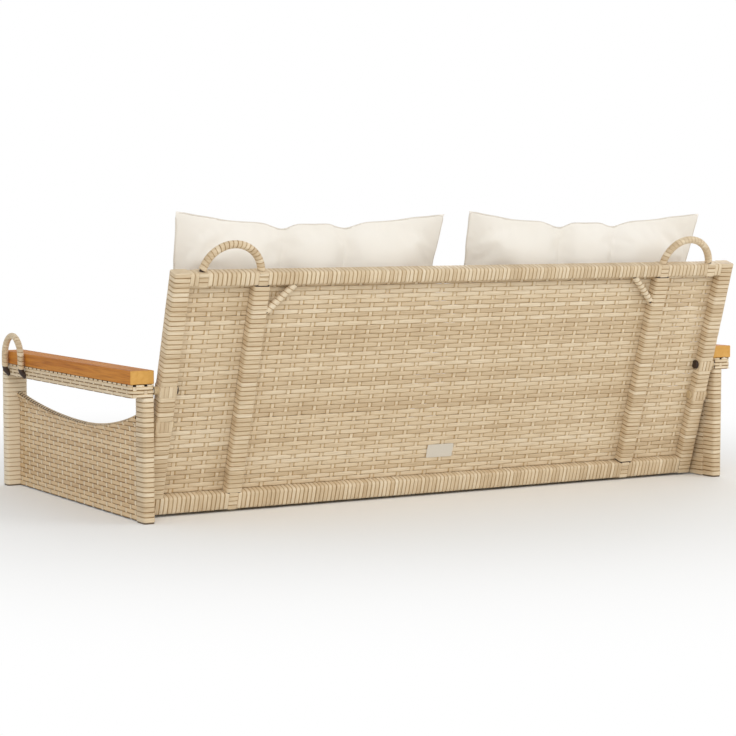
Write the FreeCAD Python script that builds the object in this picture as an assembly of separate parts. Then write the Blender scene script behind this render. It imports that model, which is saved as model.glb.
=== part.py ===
import FreeCAD, Part
import math
import os

# Two-seat hanging swing bench: four welded steel tube frames (back, two arms, seat) wound
# and woven with flat strip, wooden armrests, four rope loops and three loose cushions.
# Millimetres, +Z up, the front faces -Y. The origin lies on the floor, under the middle.

# Driving dimensions

# Flat strip and the tubes that it is wound round
STRIP = 1.3               # thickness of the flat strip
STRIP_SLACK = 0.2         # room between a tube and the strip round it
TUBE_WALL = 1.2           # wall of every steel tube
CORNER = 4.0              # outer corner radius of a wound tube
SEAM = 0.3                # gap where one wound piece meets the next

# Raked back
BACK_WIDTH = 994.0
BACK_HEIGHT = 366.0       # along the slope
BACK_DEPTH = 22.0
BACK_TILT = 17.0          # degrees from upright
BACK_SET_IN = 51.8        # lower rear edge, in front of the arms' rear faces
BACK_FLOOR_GAP = 2.7      # lower rear edge above the floor
TOP_RAIL_HEIGHT = 20.0
BOTTOM_RAIL_HEIGHT = 27.0
STILE_WIDTH = 26.0
UPRIGHT_WIDTH = 26.0
UPRIGHT_INSET = 126.0     # from the end of the back to the outer side of an inner upright

# Woven panels
PANEL_THICKNESS = 4.5
PANEL_RECESS = 14.0       # rear face of the weave behind the back frame's rear face
COURSE_PITCH = 6.9        # height of one row of the weave
COURSE_RELIEF = 0.7       # depth of the groove between two rows

# Hanging loops and corner braces
LOOP_ROD = 8.5            # bare steel rod
REAR_LOOP_WIDTH = 94.0    # between leg centres
REAR_LOOP_INSET = 92.0    # from the end of the back to a rear loop's middle
REAR_LOOP_DROP = 8.0      # loop centre below the top of the back
FRONT_LOOP_WIDTH = 69.0
FRONT_LOOP_SETBACK = 66.5 # loop's middle behind the front of the arm
FRONT_LOOP_RISE = 32.0    # top of the wound loop above the armrest
FRONT_LOOP_GAP = 0.5      # between the armrest's edge and the wound loop
FRONT_LOOP_FOOT = 7.0     # height of the slanted bare foot of each leg
FRONT_LOOP_BEND = 12.0    # radius where a leg turns in to its foot
BRACE_ROD = 6.0
BRACE_LEG = 41.0          # from the inside corner to each end of the brace
BRACE_DEPTH = 6.5         # brace centre in front of the back frame's rear face

# Arms
ARM_CLEARANCE = 7.0       # between the back's end and the arm, filled by the bolts' spacers
ARM_DEPTH = 508.0
ARM_WIDTH = 36.0          # armrest, arm rail and front post
FRONT_POST_DEPTH = 21.0
REAR_POST_WIDTH = 18.0
REAR_POST_DEPTH = 30.0
POST_CORNER = 5.0
ARM_RAIL_BOTTOM = 178.5   # underside of the arm rail above the floor
ARM_RAIL_HEIGHT = 18.5
ARM_RAIL_END_RADIUS = 10.0
ARMREST_THICKNESS = 19.5
ARMREST_END_INSET = 2.5   # wood stops short of the rail at each end
ARMREST_BEVEL = 0.8
ARM_PANEL_SET_IN = 2.7    # weave behind the rear post's outer face
ARM_PANEL_LIFT = 1.5      # weave's lower edge above the floor
SCOOP_GAP = 50.5          # lowest point of the scooped edge below the arm rail
SCOOP_LOW_SETBACK = 293.0 # lowest point behind the front of the arm
SCOOP_FRONT_RISE = 25.0
SCOOP_REAR_RISE = 27.0
BORDER = 11.0             # rolled border along the scoop
BORDER_ROD = 7.0          # steel rod inside the border
SILL_HEIGHT = 20.0        # bar along the foot of the arm
SILL_LIFT = 6.0
FOOT_PLUG_FLANGE = 2.0
FOOT_PLUG_STEM = 12.0
FOOT_PLUG_INSET = 0.8

# Seat
SEAT_RAIL_HEIGHT = 27.0
SEAT_RAIL_WIDTH = 22.0
SEAT_FLOOR_GAP = 4.0
SEAT_SIDE_GAP = 1.7       # seat frame to the clear width between the arms
SEAT_FRONT_INSET = 2.0    # seat front behind the front of the arms
SEAT_BACK_GAP = 0.5       # seat frame to the foot of the back
SEAT_BAR_WIDTH = 20.0
SEAT_BARS = 3

# Fasteners
BOLT = 5.0
BOLT_HEAD = 10.0
BOLT_HEAD_HEIGHT = 4.0
BOLT_CAP = 14.0
BOLT_CAP_WALL = 1.4
BOLT_ROOM = 0.2           # radial room round a bolt, head or nut
BACK_BOLT_PITCH = 53.0    # between the two bolts of a side, along the back's slope
BACK_BOLT_REACH = 8.0     # bolt end beyond the face of the arm's tube
SPACER = 12.0
NUT_BARREL = 7.0
NUT_FLANGE = 10.0
NUT_FLANGE_THICKNESS = 0.8
NUT_LENGTH = 10.0
SEAT_BOLT_MARGIN = 55.0   # first and last seat bolt from the ends of the side rail
SEAT_BOLTS = 3            # on each side
SCREW = 5.0
SCREW_HEAD = 9.0
SCREW_HEAD_HEIGHT = 1.2
SCREW_BITE = 11.0         # depth in the wood
SCREW_MARGIN = 60.0       # first and last screw from the ends of the armrest
ARMREST_SCREWS = 3        # on each side

# Cushions
REST_GAP = 0.3            # air under and behind a loose cushion
SEAT_CUSHION_SIDE_GAP = 2.3
SEAT_CUSHION_THICKNESS = 50.0
SEAT_CUSHION_EDGE = 34.0  # thickness along its sides
SEAT_CUSHION_BULGE = 11.0 # how far the sides swell out
SEAT_CUSHION_PULL = 5.0   # how far long sides draw in between corners
SEAT_CUSHION_REAR_GAP = 9.0
BACK_CUSHION_SIDE_INSET = 27.0  # outer corners, inside the ends of the back
BACK_CUSHION_PARTING = 42.0     # between the two pillows' inner corners
BACK_CUSHION_SHOW = 62.0  # top corners above the back, along its slope
BACK_CUSHION_BULGE = 57.0 # crown on each side of the seam
BACK_CUSHION_SEAM = 3.0   # thickness of the knife edge
BACK_CUSHION_SAG = 15.0   # top edge below its corners
BACK_CUSHION_SIDE_PULL = 10.0
TUFT_SPACING = 100.0
TUFT_DIP = 7.0            # top edge drawn down at each tuft
TUFT_PINCH = 0.2          # share of the crown lost at each tuft
TUFT_WIDTH = 15.0

# Worked out from the driving dimensions
SKIN = STRIP + STRIP_SLACK
TILT = math.radians(BACK_TILT)
LOOP_WRAP = LOOP_ROD + 2 * SKIN
BRACE_WRAP = BRACE_ROD + 2 * SKIN
ARM_INNER = BACK_WIDTH / 2 + ARM_CLEARANCE
ARM_OUTER = ARM_INNER + ARM_WIDTH
RAIL_TOP = ARM_RAIL_BOTTOM + ARM_RAIL_HEIGHT
ARMREST_BOTTOM = RAIL_TOP + SEAM
ARMREST_TOP = ARMREST_BOTTOM + ARMREST_THICKNESS
LOOP_APEX = BACK_HEIGHT - REAR_LOOP_DROP + REAR_LOOP_WIDTH / 2
REAR_OVERHANG = (LOOP_APEX * math.sin(TILT) - BACK_DEPTH / 2 * math.cos(TILT)
                 + LOOP_WRAP / 2 - BACK_SET_IN)
ARM_REAR = (ARM_DEPTH - REAR_OVERHANG) / 2
ARM_FRONT = ARM_REAR - ARM_DEPTH
BACK_FOOT_Y = ARM_REAR - BACK_SET_IN
SCOOP_LOW = ARM_RAIL_BOTTOM - SCOOP_GAP
BACK_BOLT_DEPTH = BACK_DEPTH / 2
BACK_BOLT_HIGH = ((ARM_RAIL_BOTTOM + RAIL_TOP) / 2 - BACK_FLOOR_GAP
                  - BACK_BOLT_DEPTH * math.sin(TILT)) / math.cos(TILT)
BACK_BOLT_LOW = BACK_BOLT_HIGH - BACK_BOLT_PITCH
BACK_CUSHION_WIDTH = (BACK_WIDTH - BACK_CUSHION_PARTING) / 2 - BACK_CUSHION_SIDE_INSET
BACK_CUSHION_CENTRE = (BACK_CUSHION_PARTING + BACK_CUSHION_WIDTH) / 2
BACK_CUSHION_TIP = BACK_HEIGHT + BACK_CUSHION_SHOW

V = FreeCAD.Vector
AXES = {"x": V(1, 0, 0), "y": V(0, 1, 0), "z": V(0, 0, 1)}
FAR = 3 * BACK_WIDTH      # longer than the bench, for cutting tools


# Shared shapes

def bar(low, high, axis, radius=0.0, inset=0.0, end_inset=0.0):
    """A straight bar that fills a box, rounded along its axis and drawn in by an inset."""
    along = AXES[axis]
    drawn = V(inset, inset, inset) + along * (end_inset - inset)
    size = high - low - drawn * 2
    solid = Part.makeBox(size.x, size.y, size.z, low + drawn)
    rounded = radius - inset
    if rounded > 0.2:
        edges = [e for e in solid.Edges if abs(e.tangentAt(e.FirstParameter).dot(along)) > 0.9]
        solid = solid.makeFillet(rounded, edges)
    return solid


def rod(start, end, diameter):
    """A straight round bar between two points."""
    run = end - start
    return Part.makeCylinder(diameter / 2, run.Length, start, run)


def bent_rod(edges, diameter):
    """A round bar along lines and tangent arcs."""
    path = Part.Wire(edges)
    first = edges[0]
    start = first.valueAt(first.FirstParameter)
    heading = first.tangentAt(first.FirstParameter)
    ring = Part.Wire(Part.makeCircle(diameter / 2, start, heading))
    return path.makePipeShell([ring], True, False)


def arc(start, middle, end):
    return Part.Arc(start, middle, end).toShape()


def line(start, end):
    return Part.LineSegment(start, end).toShape()


def fused(solids):
    return solids[0].multiFuse(solids[1:]).removeSplitter() if len(solids) > 1 else solids[0]


def without(solid, tools):
    return solid.cut(tools) if tools else solid


def lean(solid):
    """Take a piece modelled on an upright back to its place on the raked one."""
    placed = solid.copy()
    placed.rotate(V(0, 0, 0), V(1, 0, 0), -BACK_TILT)
    placed.translate(V(0, BACK_FOOT_Y, BACK_FLOOR_GAP))
    return placed


def leaned_point(x, depth, height):
    """Where a point of the upright back lies on the raked one."""
    return V(x,
             BACK_FOOT_Y + height * math.sin(TILT) - depth * math.cos(TILT),
             BACK_FLOOR_GAP + height * math.cos(TILT) + depth * math.sin(TILT))


def mirrored(solid):
    return solid.mirror(V(0, 0, 0), V(1, 0, 0))


def ribbed_outline(length):
    """Rows of a weave as a closed outline: x is the height, y the thickness."""
    rows = max(1, round(length / COURSE_PITCH))
    step = length / rows
    crest = PANEL_THICKNESS
    outer = [V(0, crest - COURSE_RELIEF, 0)]
    for row in range(rows):
        outer.append(V((row + 0.5) * step, crest, 0))
        outer.append(V((row + 1) * step, crest - COURSE_RELIEF, 0))
    inner = [V(p.x, crest - p.y, 0) for p in reversed(outer)]
    return Part.Face(Part.makePolygon(outer + inner + [outer[0]]))


def woven_plate(height, width):
    """A woven plate standing on the x axis: rows run along x, the faces look along y."""
    plate = ribbed_outline(height).extrude(V(0, 0, width))
    plate.rotate(V(0, 0, 0), V(0, 1, 0), 90)
    plate.rotate(V(0, 0, 0), V(1, 0, 0), 180)
    box = plate.BoundBox
    plate.translate(V(-box.XMin, -box.YMin, -box.ZMin))
    return plate


# Back: one welded frame, modelled upright with its rear face on y = 0

BACK_HALF = BACK_WIDTH / 2
STILE_INNER = BACK_HALF - STILE_WIDTH
UPRIGHT_OUTER = BACK_HALF - UPRIGHT_INSET
UPRIGHT_INNER = UPRIGHT_OUTER - UPRIGHT_WIDTH
TOP_RAIL_BOTTOM = BACK_HEIGHT - TOP_RAIL_HEIGHT
TOP_RAIL_MIDDLE = BACK_HEIGHT - TOP_RAIL_HEIGHT / 2
BOTTOM_RAIL_MIDDLE = BOTTOM_RAIL_HEIGHT / 2


def back_rail(low, high):
    return V(-BACK_HALF, -BACK_DEPTH, low), V(BACK_HALF, 0, high)


def back_post(inner, outer, low, high):
    return V(inner, -BACK_DEPTH, low), V(outer, 0, high)


TOP_RAIL = back_rail(TOP_RAIL_BOTTOM, BACK_HEIGHT)
BOTTOM_RAIL = back_rail(0, BOTTOM_RAIL_HEIGHT)
BACK_POST_SIDES = [(STILE_INNER, BACK_HALF), (UPRIGHT_INNER, UPRIGHT_OUTER)]


def rear_loop(diameter):
    """The left rear loop: half a ring standing on the top rail."""
    middle = V(BACK_HALF - REAR_LOOP_INSET, -BACK_DEPTH / 2, BACK_HEIGHT - REAR_LOOP_DROP)
    reach = REAR_LOOP_WIDTH / 2
    slant = reach * math.sqrt(0.5)
    outer, inner = middle + V(reach, 0, 0), middle - V(reach, 0, 0)
    apex = middle + V(0, 0, reach)
    return bent_rod([arc(outer, middle + V(slant, 0, slant), apex),
                     arc(apex, middle + V(-slant, 0, slant), inner)], diameter)


def brace(diameter, overrun):
    """The left corner brace, from the top rail to the inner upright."""
    across = V(1, 0, -1) * math.sqrt(0.5)
    top = V(UPRIGHT_INNER - BRACE_LEG, -BRACE_DEPTH, TOP_RAIL_BOTTOM)
    foot = V(UPRIGHT_INNER, -BRACE_DEPTH, TOP_RAIL_BOTTOM - BRACE_LEG)
    return rod(top - across * overrun, foot + across * overrun, diameter)


def back_bolt_axes():
    """Points on the axes of the left side's bolts, on the upright back."""
    return [V(0, -BACK_BOLT_DEPTH, height) for height in (BACK_BOLT_LOW, BACK_BOLT_HIGH)]


def back_bolt_holes(start, end, diameter):
    return [rod(V(start, p.y, p.z), V(end, p.y, p.z), diameter) for p in back_bolt_axes()]


def back_frame():
    cores, bores = [], []
    for low, high in (TOP_RAIL, BOTTOM_RAIL):
        cores.append(bar(low, high, "x", CORNER, SKIN, SKIN))
        bores.append(bar(low, high, "x", CORNER, SKIN + TUBE_WALL, 0))
    for inner, outer in BACK_POST_SIDES:
        low, high = back_post(inner, outer, BOTTOM_RAIL_MIDDLE, TOP_RAIL_MIDDLE)
        core = bar(low, high, "z", CORNER, SKIN)
        bore = bar(low, high, "z", CORNER, SKIN + TUBE_WALL)
        cores += [core, mirrored(core)]
        bores += [bore, mirrored(bore)]
    rods = [rear_loop(LOOP_ROD), brace(BRACE_ROD, SKIN + TUBE_WALL)]
    frame = fused(cores + rods + [mirrored(r) for r in rods])
    holes = back_bolt_holes(0, FAR, BOLT + 2 * BOLT_ROOM)
    keep_out = [bar(V(0, -FAR, -FAR), V(UPRIGHT_OUTER + SKIN, FAR, FAR), "z")]
    holes = [h.cut(keep_out) for h in holes]
    return frame.cut(bores + holes + [mirrored(h) for h in holes])


def back_rail_wrap(low, high):
    """Strip wound round a rail, open where the posts of the frame pass through."""
    outside = bar(low, high, "x", CORNER)
    room = [bar(low, high, "x", CORNER, STRIP, STRIP)]
    for inner, outer in BACK_POST_SIDES:
        a, b = back_post(inner, outer, BOTTOM_RAIL_MIDDLE, TOP_RAIL_MIDDLE)
        post = bar(a, b, "z", CORNER, STRIP)
        room += [post, mirrored(post)]
    return outside.cut(room)


def back_top_rail_wrap():
    loop = rear_loop(LOOP_ROD + 2 * STRIP_SLACK)
    tie = brace(BRACE_ROD + 2 * STRIP_SLACK, SKIN + TUBE_WALL)
    return back_rail_wrap(*TOP_RAIL).cut([loop, mirrored(loop), tie, mirrored(tie)])


def back_post_wrap(inner, outer):
    low, high = back_post(inner, outer, BOTTOM_RAIL_HEIGHT + SEAM, TOP_RAIL_BOTTOM - SEAM)
    return bar(low, high, "z", CORNER).cut(bar(low, high, "z", CORNER, STRIP))


def stile_wrap():
    head_room = back_bolt_holes(STILE_INNER - STRIP, STILE_INNER + SKIN, BOLT_HEAD + 4 * BOLT_ROOM)
    shank_room = back_bolt_holes(BACK_HALF - SKIN, BACK_HALF + STRIP, BOLT + 2 * BOLT_ROOM)
    return back_post_wrap(STILE_INNER, BACK_HALF).cut(head_room + shank_room)


def upright_wrap():
    tie = brace(BRACE_ROD + 2 * STRIP_SLACK, SKIN + TUBE_WALL)
    return back_post_wrap(UPRIGHT_INNER, UPRIGHT_OUTER).cut(tie)


def brace_wrap():
    sleeve = brace(BRACE_WRAP, BRACE_WRAP)
    hollow = brace(BRACE_ROD + 2 * STRIP_SLACK, 2 * BRACE_WRAP)
    corner = bar(V(0, -BACK_DEPTH, 0),
                 V(UPRIGHT_INNER - SEAM, 0, TOP_RAIL_BOTTOM - SEAM), "z")
    return sleeve.cut(hollow).common(corner)


def rear_loop_wrap():
    sleeve = rear_loop(LOOP_WRAP).cut(rear_loop(LOOP_ROD + 2 * STRIP_SLACK))
    above = bar(V(0, -FAR, BACK_HEIGHT + SEAM), V(FAR, FAR, FAR), "z")
    return sleeve.common(above)


def back_panel(left, right):
    low = BOTTOM_RAIL_HEIGHT + SEAM
    plate = woven_plate(TOP_RAIL_BOTTOM - SEAM - low, right - left - 2 * SEAM)
    plate.translate(V(left + SEAM, -PANEL_RECESS - PANEL_THICKNESS, low))
    room = [brace(BRACE_WRAP + 2 * SEAM, BRACE_WRAP)]
    room += back_bolt_holes(STILE_INNER - BOLT_CAP, STILE_INNER, BOLT_CAP + 2 * SEAM)
    return plate.cut(room + [mirrored(r) for r in room])


# Arms: the left arm stands at +X, the right one is its mirror image

RAIL_BOX = (V(ARM_INNER, ARM_FRONT, ARM_RAIL_BOTTOM), V(ARM_OUTER, ARM_REAR, RAIL_TOP))
FRONT_POST = (V(ARM_INNER, ARM_FRONT, FOOT_PLUG_FLANGE),
              V(ARM_OUTER, ARM_FRONT + FRONT_POST_DEPTH, ARM_RAIL_BOTTOM - SEAM))
REAR_POST = (V(ARM_INNER, ARM_REAR - REAR_POST_DEPTH, FOOT_PLUG_FLANGE),
             V(ARM_INNER + REAR_POST_WIDTH, ARM_REAR, ARM_RAIL_BOTTOM - SEAM))
PANEL_FRONT = ARM_FRONT + FRONT_POST_DEPTH
PANEL_REAR = ARM_REAR - REAR_POST_DEPTH
PANEL_OUTER = ARM_INNER + REAR_POST_WIDTH - ARM_PANEL_SET_IN
PANEL_INNER = PANEL_OUTER - PANEL_THICKNESS
PANEL_MIDDLE = PANEL_OUTER - PANEL_THICKNESS / 2
SILL_INNER = ARM_INNER - SEAT_SIDE_GAP + SEAM
SILL_BOX = (V(SILL_INNER, PANEL_FRONT - SKIN, SILL_LIFT),
            V(PANEL_INNER - SEAM, PANEL_REAR + SKIN, SILL_LIFT + SILL_HEIGHT))
SEAT_FRONT = ARM_FRONT + SEAT_FRONT_INSET
BACK_FOOT_FRONT = leaned_point(0, BACK_DEPTH, 0).y
SEAT_REAR = BACK_FOOT_FRONT - SEAT_BACK_GAP
SEAT_HALF = ARM_INNER - SEAT_SIDE_GAP
SEAT_BOTTOM = SEAT_FLOOR_GAP
SEAT_TOP = SEAT_FLOOR_GAP + SEAT_RAIL_HEIGHT
SEAT_BOLT_HEIGHT = (SEAT_BOTTOM + SEAT_TOP) / 2


def rail_body(inset):
    """The arm rail's box with its outer rear end rounded, drawn in all round."""
    low, high = RAIL_BOX
    room = V(inset, inset, inset)
    size = high - low - room * 2
    solid = Part.makeBox(size.x, size.y, size.z, low + room)
    corner = V(high.x - inset, high.y - inset, 0)
    edges = [e for e in solid.Edges
             if all(V(v.X, v.Y, 0).distanceToPoint(corner) < STRIP_SLACK for v in e.Vertexes)]
    return solid.makeFillet(ARM_RAIL_END_RADIUS - inset, edges)


def scoop_edges(front, rear):
    """Centre line of the scoop's rod: two arcs that meet level at the lowest point."""
    low_y = ARM_FRONT + SCOOP_LOW_SETBACK
    low_z = SCOOP_LOW - BORDER / 2
    runs = [(PANEL_FRONT - low_y, SCOOP_FRONT_RISE, front), (PANEL_REAR - low_y, SCOOP_REAR_RISE, rear)]
    lowest = V(PANEL_MIDDLE, low_y, low_z)
    edges = []
    for run, rise, end in runs:
        radius = (run * run + rise * rise) / (2 * rise)
        sweep = math.asin((end - low_y) / radius)

        def at(angle):
            return lowest + V(0, radius * math.sin(angle), radius * (1 - math.cos(angle)))
        edges.append((at(0), at(sweep / 2), at(sweep)))
    first, second = edges
    return [arc(first[2], first[1], first[0]), arc(second[0], second[1], second[2])]


SCOOP_WELD = (PANEL_FRONT - SKIN - TUBE_WALL / 2, PANEL_REAR + SKIN + TUBE_WALL / 2)


def scoop_rod(diameter):
    return bent_rod(scoop_edges(*SCOOP_WELD), diameter)


def front_loop(diameter, footed=True):
    """The front loop: two legs and half a ring beside the armrest, with slanted feet."""
    x = ARM_OUTER + FRONT_LOOP_GAP + LOOP_WRAP / 2
    y = ARM_FRONT + FRONT_LOOP_SETBACK
    reach = FRONT_LOOP_WIDTH / 2
    slant = reach * math.sqrt(0.5)
    centre = V(x, y, ARMREST_TOP + FRONT_LOOP_RISE - LOOP_WRAP / 2 - reach)
    front, rear = centre - V(0, reach, 0), centre + V(0, reach, 0)
    apex = centre + V(0, 0, reach)
    turn = math.radians(45)
    bend_top = ARM_RAIL_BOTTOM + FRONT_LOOP_FOOT + FRONT_LOOP_BEND * math.sin(turn)

    def foot(leg):
        start = V(leg.x, leg.y, bend_top)
        hub = start - V(FRONT_LOOP_BEND, 0, 0)
        half = hub + V(math.cos(turn / 2), 0, -math.sin(turn / 2)) * FRONT_LOOP_BEND
        end = hub + V(math.cos(turn), 0, -math.sin(turn)) * FRONT_LOOP_BEND
        tip = end - V(math.sin(turn), 0, math.cos(turn)) * FRONT_LOOP_FOOT
        return start, half, end, tip

    f_start, f_half, f_end, f_tip = foot(front)
    r_start, r_half, r_end, r_tip = foot(rear)
    ring = [line(f_start, front), arc(front, centre + V(0, -slant, slant), apex),
            arc(apex, centre + V(0, slant, slant), rear), line(rear, r_start)]
    if footed:
        ring = ([line(f_tip, f_end), arc(f_end, f_half, f_start)] + ring
                + [arc(r_start, r_half, r_end), line(r_end, r_tip)])
    return bent_rod(ring, diameter)


def arm_bolt_axes():
    return [leaned_point(0, -p.y, p.z) for p in back_bolt_axes()]


def arm_bolt_holes(start, end, diameter):
    return [rod(V(start, p.y, p.z), V(end, p.y, p.z), diameter) for p in arm_bolt_axes()]


def spaced(first, last, count):
    step = (last - first) / max(1, count - 1)
    return [first + i * step for i in range(count)]


def seat_bolt_places():
    return spaced(SEAT_FRONT + SEAT_RAIL_WIDTH + SEAT_BOLT_MARGIN,
                  SEAT_REAR - SEAT_RAIL_WIDTH - SEAT_BOLT_MARGIN, SEAT_BOLTS)


def seat_bolt_holes(start, end, diameter):
    return [rod(V(start, y, SEAT_BOLT_HEIGHT), V(end, y, SEAT_BOLT_HEIGHT), diameter)
            for y in seat_bolt_places()]


def screw_places():
    x = (ARM_INNER + ARM_OUTER) / 2
    return [V(x, y, 0) for y in spaced(ARM_FRONT + SCREW_MARGIN, ARM_REAR - SCREW_MARGIN, ARMREST_SCREWS)]


def screw_holes(low, high, diameter):
    return [rod(p + V(0, 0, low), p + V(0, 0, high), diameter) for p in screw_places()]


def post_core(post, inset):
    """A post's tube, carried up into the arm rail's tube."""
    low, high = post
    top = V(high.x, high.y, (ARM_RAIL_BOTTOM + RAIL_TOP) / 2)
    return bar(low, top, "z", POST_CORNER, inset)


def arm_frame():
    cores = [rail_body(SKIN), post_core(FRONT_POST, SKIN), post_core(REAR_POST, SKIN)]
    bores = [rail_body(SKIN + TUBE_WALL), post_core(FRONT_POST, SKIN + TUBE_WALL),
             post_core(REAR_POST, SKIN + TUBE_WALL)]
    cores.append(bar(SILL_BOX[0], SILL_BOX[1], "y"))
    bores.append(bar(SILL_BOX[0], SILL_BOX[1], "y", 0, TUBE_WALL, -TUBE_WALL / 2))
    frame = fused(cores).cut(bores)
    frame = fused([frame, scoop_rod(BORDER_ROD), front_loop(LOOP_ROD).cut(rail_body(SKIN + TUBE_WALL))])
    barrel = NUT_BARREL + 2 * BOLT_ROOM
    holes = arm_bolt_holes(ARM_INNER, ARM_INNER + REAR_POST_WIDTH / 2, barrel)
    holes += seat_bolt_holes(SILL_INNER - SKIN, (SILL_INNER + PANEL_INNER) / 2, barrel)
    holes += screw_holes(ARM_RAIL_BOTTOM, RAIL_TOP, SCREW + 2 * BOLT_ROOM)
    return frame.cut(holes)


def arm_rail_wrap():
    room = [rail_body(STRIP), post_core(FRONT_POST, STRIP), post_core(REAR_POST, STRIP),
            front_loop(LOOP_ROD + 2 * STRIP_SLACK)]
    room += screw_holes(ARM_RAIL_BOTTOM - STRIP, ARM_RAIL_BOTTOM + SKIN, SCREW_HEAD + 4 * BOLT_ROOM)
    room += screw_holes(RAIL_TOP - SKIN, RAIL_TOP + STRIP, SCREW + 2 * BOLT_ROOM)
    room += arm_bolt_holes(ARM_INNER - STRIP, ARM_INNER + SKIN, NUT_FLANGE + 4 * BOLT_ROOM)
    return rail_body(0).cut(room)


def post_wrap(post):
    low, high = post
    return bar(low, high, "z", POST_CORNER).cut(bar(low, high, "z", POST_CORNER, STRIP))


def front_post_wrap():
    sill = bar(SILL_BOX[0], SILL_BOX[1], "y", 0, -STRIP_SLACK, 0)
    return post_wrap(FRONT_POST).cut([sill, scoop_rod(BORDER_ROD + 2 * STRIP_SLACK)])


def rear_post_wrap():
    sill = bar(SILL_BOX[0], SILL_BOX[1], "y", 0, -STRIP_SLACK, 0)
    nuts = arm_bolt_holes(ARM_INNER - STRIP, ARM_INNER + 2 * SKIN, NUT_FLANGE + 4 * BOLT_ROOM)
    return post_wrap(REAR_POST).cut([sill, scoop_rod(BORDER_ROD + 2 * STRIP_SLACK)] + nuts)


def arm_span(low, high):
    """The space between the two posts of an arm, clear of their wound strip."""
    return bar(V(0, PANEL_FRONT + SEAM, low), V(FAR, PANEL_REAR - SEAM, high), "z")


def arm_panel():
    height = SCOOP_LOW + max(SCOOP_FRONT_RISE, SCOOP_REAR_RISE) - ARM_PANEL_LIFT
    plate = woven_plate(height, PANEL_REAR - PANEL_FRONT - 2 * SEAM)
    plate.rotate(V(0, 0, 0), V(0, 0, 1), 90)
    plate.translate(V(PANEL_OUTER, PANEL_FRONT + SEAM, ARM_PANEL_LIFT))
    curve = scoop_edges(PANEL_FRONT, PANEL_REAR)
    front = curve[0].valueAt(curve[0].FirstParameter)
    rear = curve[1].valueAt(curve[1].LastParameter)
    over = V(0, 0, height)
    rim = Part.Wire(curve + [line(rear, rear + over), line(rear + over, front + over),
                             line(front + over, front)])
    above = Part.Face(rim).extrude(V(2 * PANEL_THICKNESS, 0, 0))
    above.translate(V(-PANEL_THICKNESS, 0, 0))
    return plate.cut([above, scoop_rod(BORDER + 2 * SEAM)])


def arm_border():
    roll = scoop_rod(BORDER).cut(scoop_rod(BORDER_ROD + 2 * STRIP_SLACK))
    return roll.common(arm_span(0, ARM_RAIL_BOTTOM))


def front_loop_wrap():
    return front_loop(LOOP_WRAP, False).cut(front_loop(LOOP_ROD + 2 * STRIP_SLACK))


def armrest():
    low = V(ARM_INNER, ARM_FRONT + ARMREST_END_INSET, ARMREST_BOTTOM)
    high = V(ARM_OUTER, ARM_REAR - ARMREST_END_INSET, ARMREST_TOP)
    size = high - low
    board = Part.makeBox(size.x, size.y, size.z, low)
    board = board.makeChamfer(ARMREST_BEVEL, board.Edges)
    return board.cut(screw_holes(ARMREST_BOTTOM, ARMREST_BOTTOM + SCREW_BITE, SCREW + BOLT_ROOM))


def foot_plug(post):
    low, high = post
    floor = V(low.x, low.y, 0)
    flange = bar(floor, V(high.x, high.y, FOOT_PLUG_FLANGE), "z", POST_CORNER, FOOT_PLUG_INSET)
    stem_top = V(high.x, high.y, FOOT_PLUG_FLANGE + FOOT_PLUG_STEM)
    stem = bar(floor, stem_top, "z", POST_CORNER, SKIN + TUBE_WALL + STRIP_SLACK)
    return fused([flange, stem])


# Seat: a flat welded frame with its own woven deck

SEAT_FRONT_RAIL = (V(-SEAT_HALF, SEAT_FRONT, SEAT_BOTTOM),
                   V(SEAT_HALF, SEAT_FRONT + SEAT_RAIL_WIDTH, SEAT_TOP))
SEAT_REAR_RAIL = (V(-SEAT_HALF, SEAT_REAR - SEAT_RAIL_WIDTH, SEAT_BOTTOM),
                  V(SEAT_HALF, SEAT_REAR, SEAT_TOP))
SEAT_SIDE_INNER = SEAT_HALF - SEAT_RAIL_WIDTH
SEAT_SIDE_FRONT = SEAT_FRONT + SEAT_RAIL_WIDTH
SEAT_SIDE_REAR = SEAT_REAR - SEAT_RAIL_WIDTH
DECK_BOTTOM = SEAT_TOP - PANEL_THICKNESS


def seat_side(overrun):
    return (V(SEAT_SIDE_INNER, SEAT_SIDE_FRONT - overrun, SEAT_BOTTOM),
            V(SEAT_HALF, SEAT_SIDE_REAR + overrun, SEAT_TOP))


def seat_cross_bars(overrun, grown=0.0):
    half = SEAT_BAR_WIDTH / 2
    step = 2 * SEAT_HALF / (SEAT_BARS + 1)
    bars = []
    for i in range(SEAT_BARS):
        x = (i + 1) * step - SEAT_HALF
        low = V(x - half, SEAT_SIDE_FRONT - overrun, SEAT_BOTTOM + SKIN)
        high = V(x + half, SEAT_SIDE_REAR + overrun, DECK_BOTTOM - SEAM)
        bars.append(bar(low, high, "y", 0, -grown, 0))
    return bars


def seat_frame():
    weld = SEAT_RAIL_WIDTH / 2
    low, high = seat_side(weld)
    rails = [SEAT_FRONT_RAIL, SEAT_REAR_RAIL]
    cores = [bar(a, b, "x", CORNER, SKIN, SKIN) for a, b in rails]
    bores = [bar(a, b, "x", CORNER, SKIN + TUBE_WALL, 0) for a, b in rails]
    side = bar(low, high, "y", CORNER, SKIN)
    side_bore = bar(low, high, "y", CORNER, SKIN + TUBE_WALL)
    cores += [side, mirrored(side)] + seat_cross_bars(weld)
    bores += [side_bore, mirrored(side_bore)] + seat_cross_bars(weld, -TUBE_WALL)
    holes = seat_bolt_holes(SEAT_SIDE_INNER - SKIN, SEAT_HALF + SKIN, BOLT + 2 * BOLT_ROOM)
    return fused(cores).cut(bores + holes + [mirrored(h) for h in holes])


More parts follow.
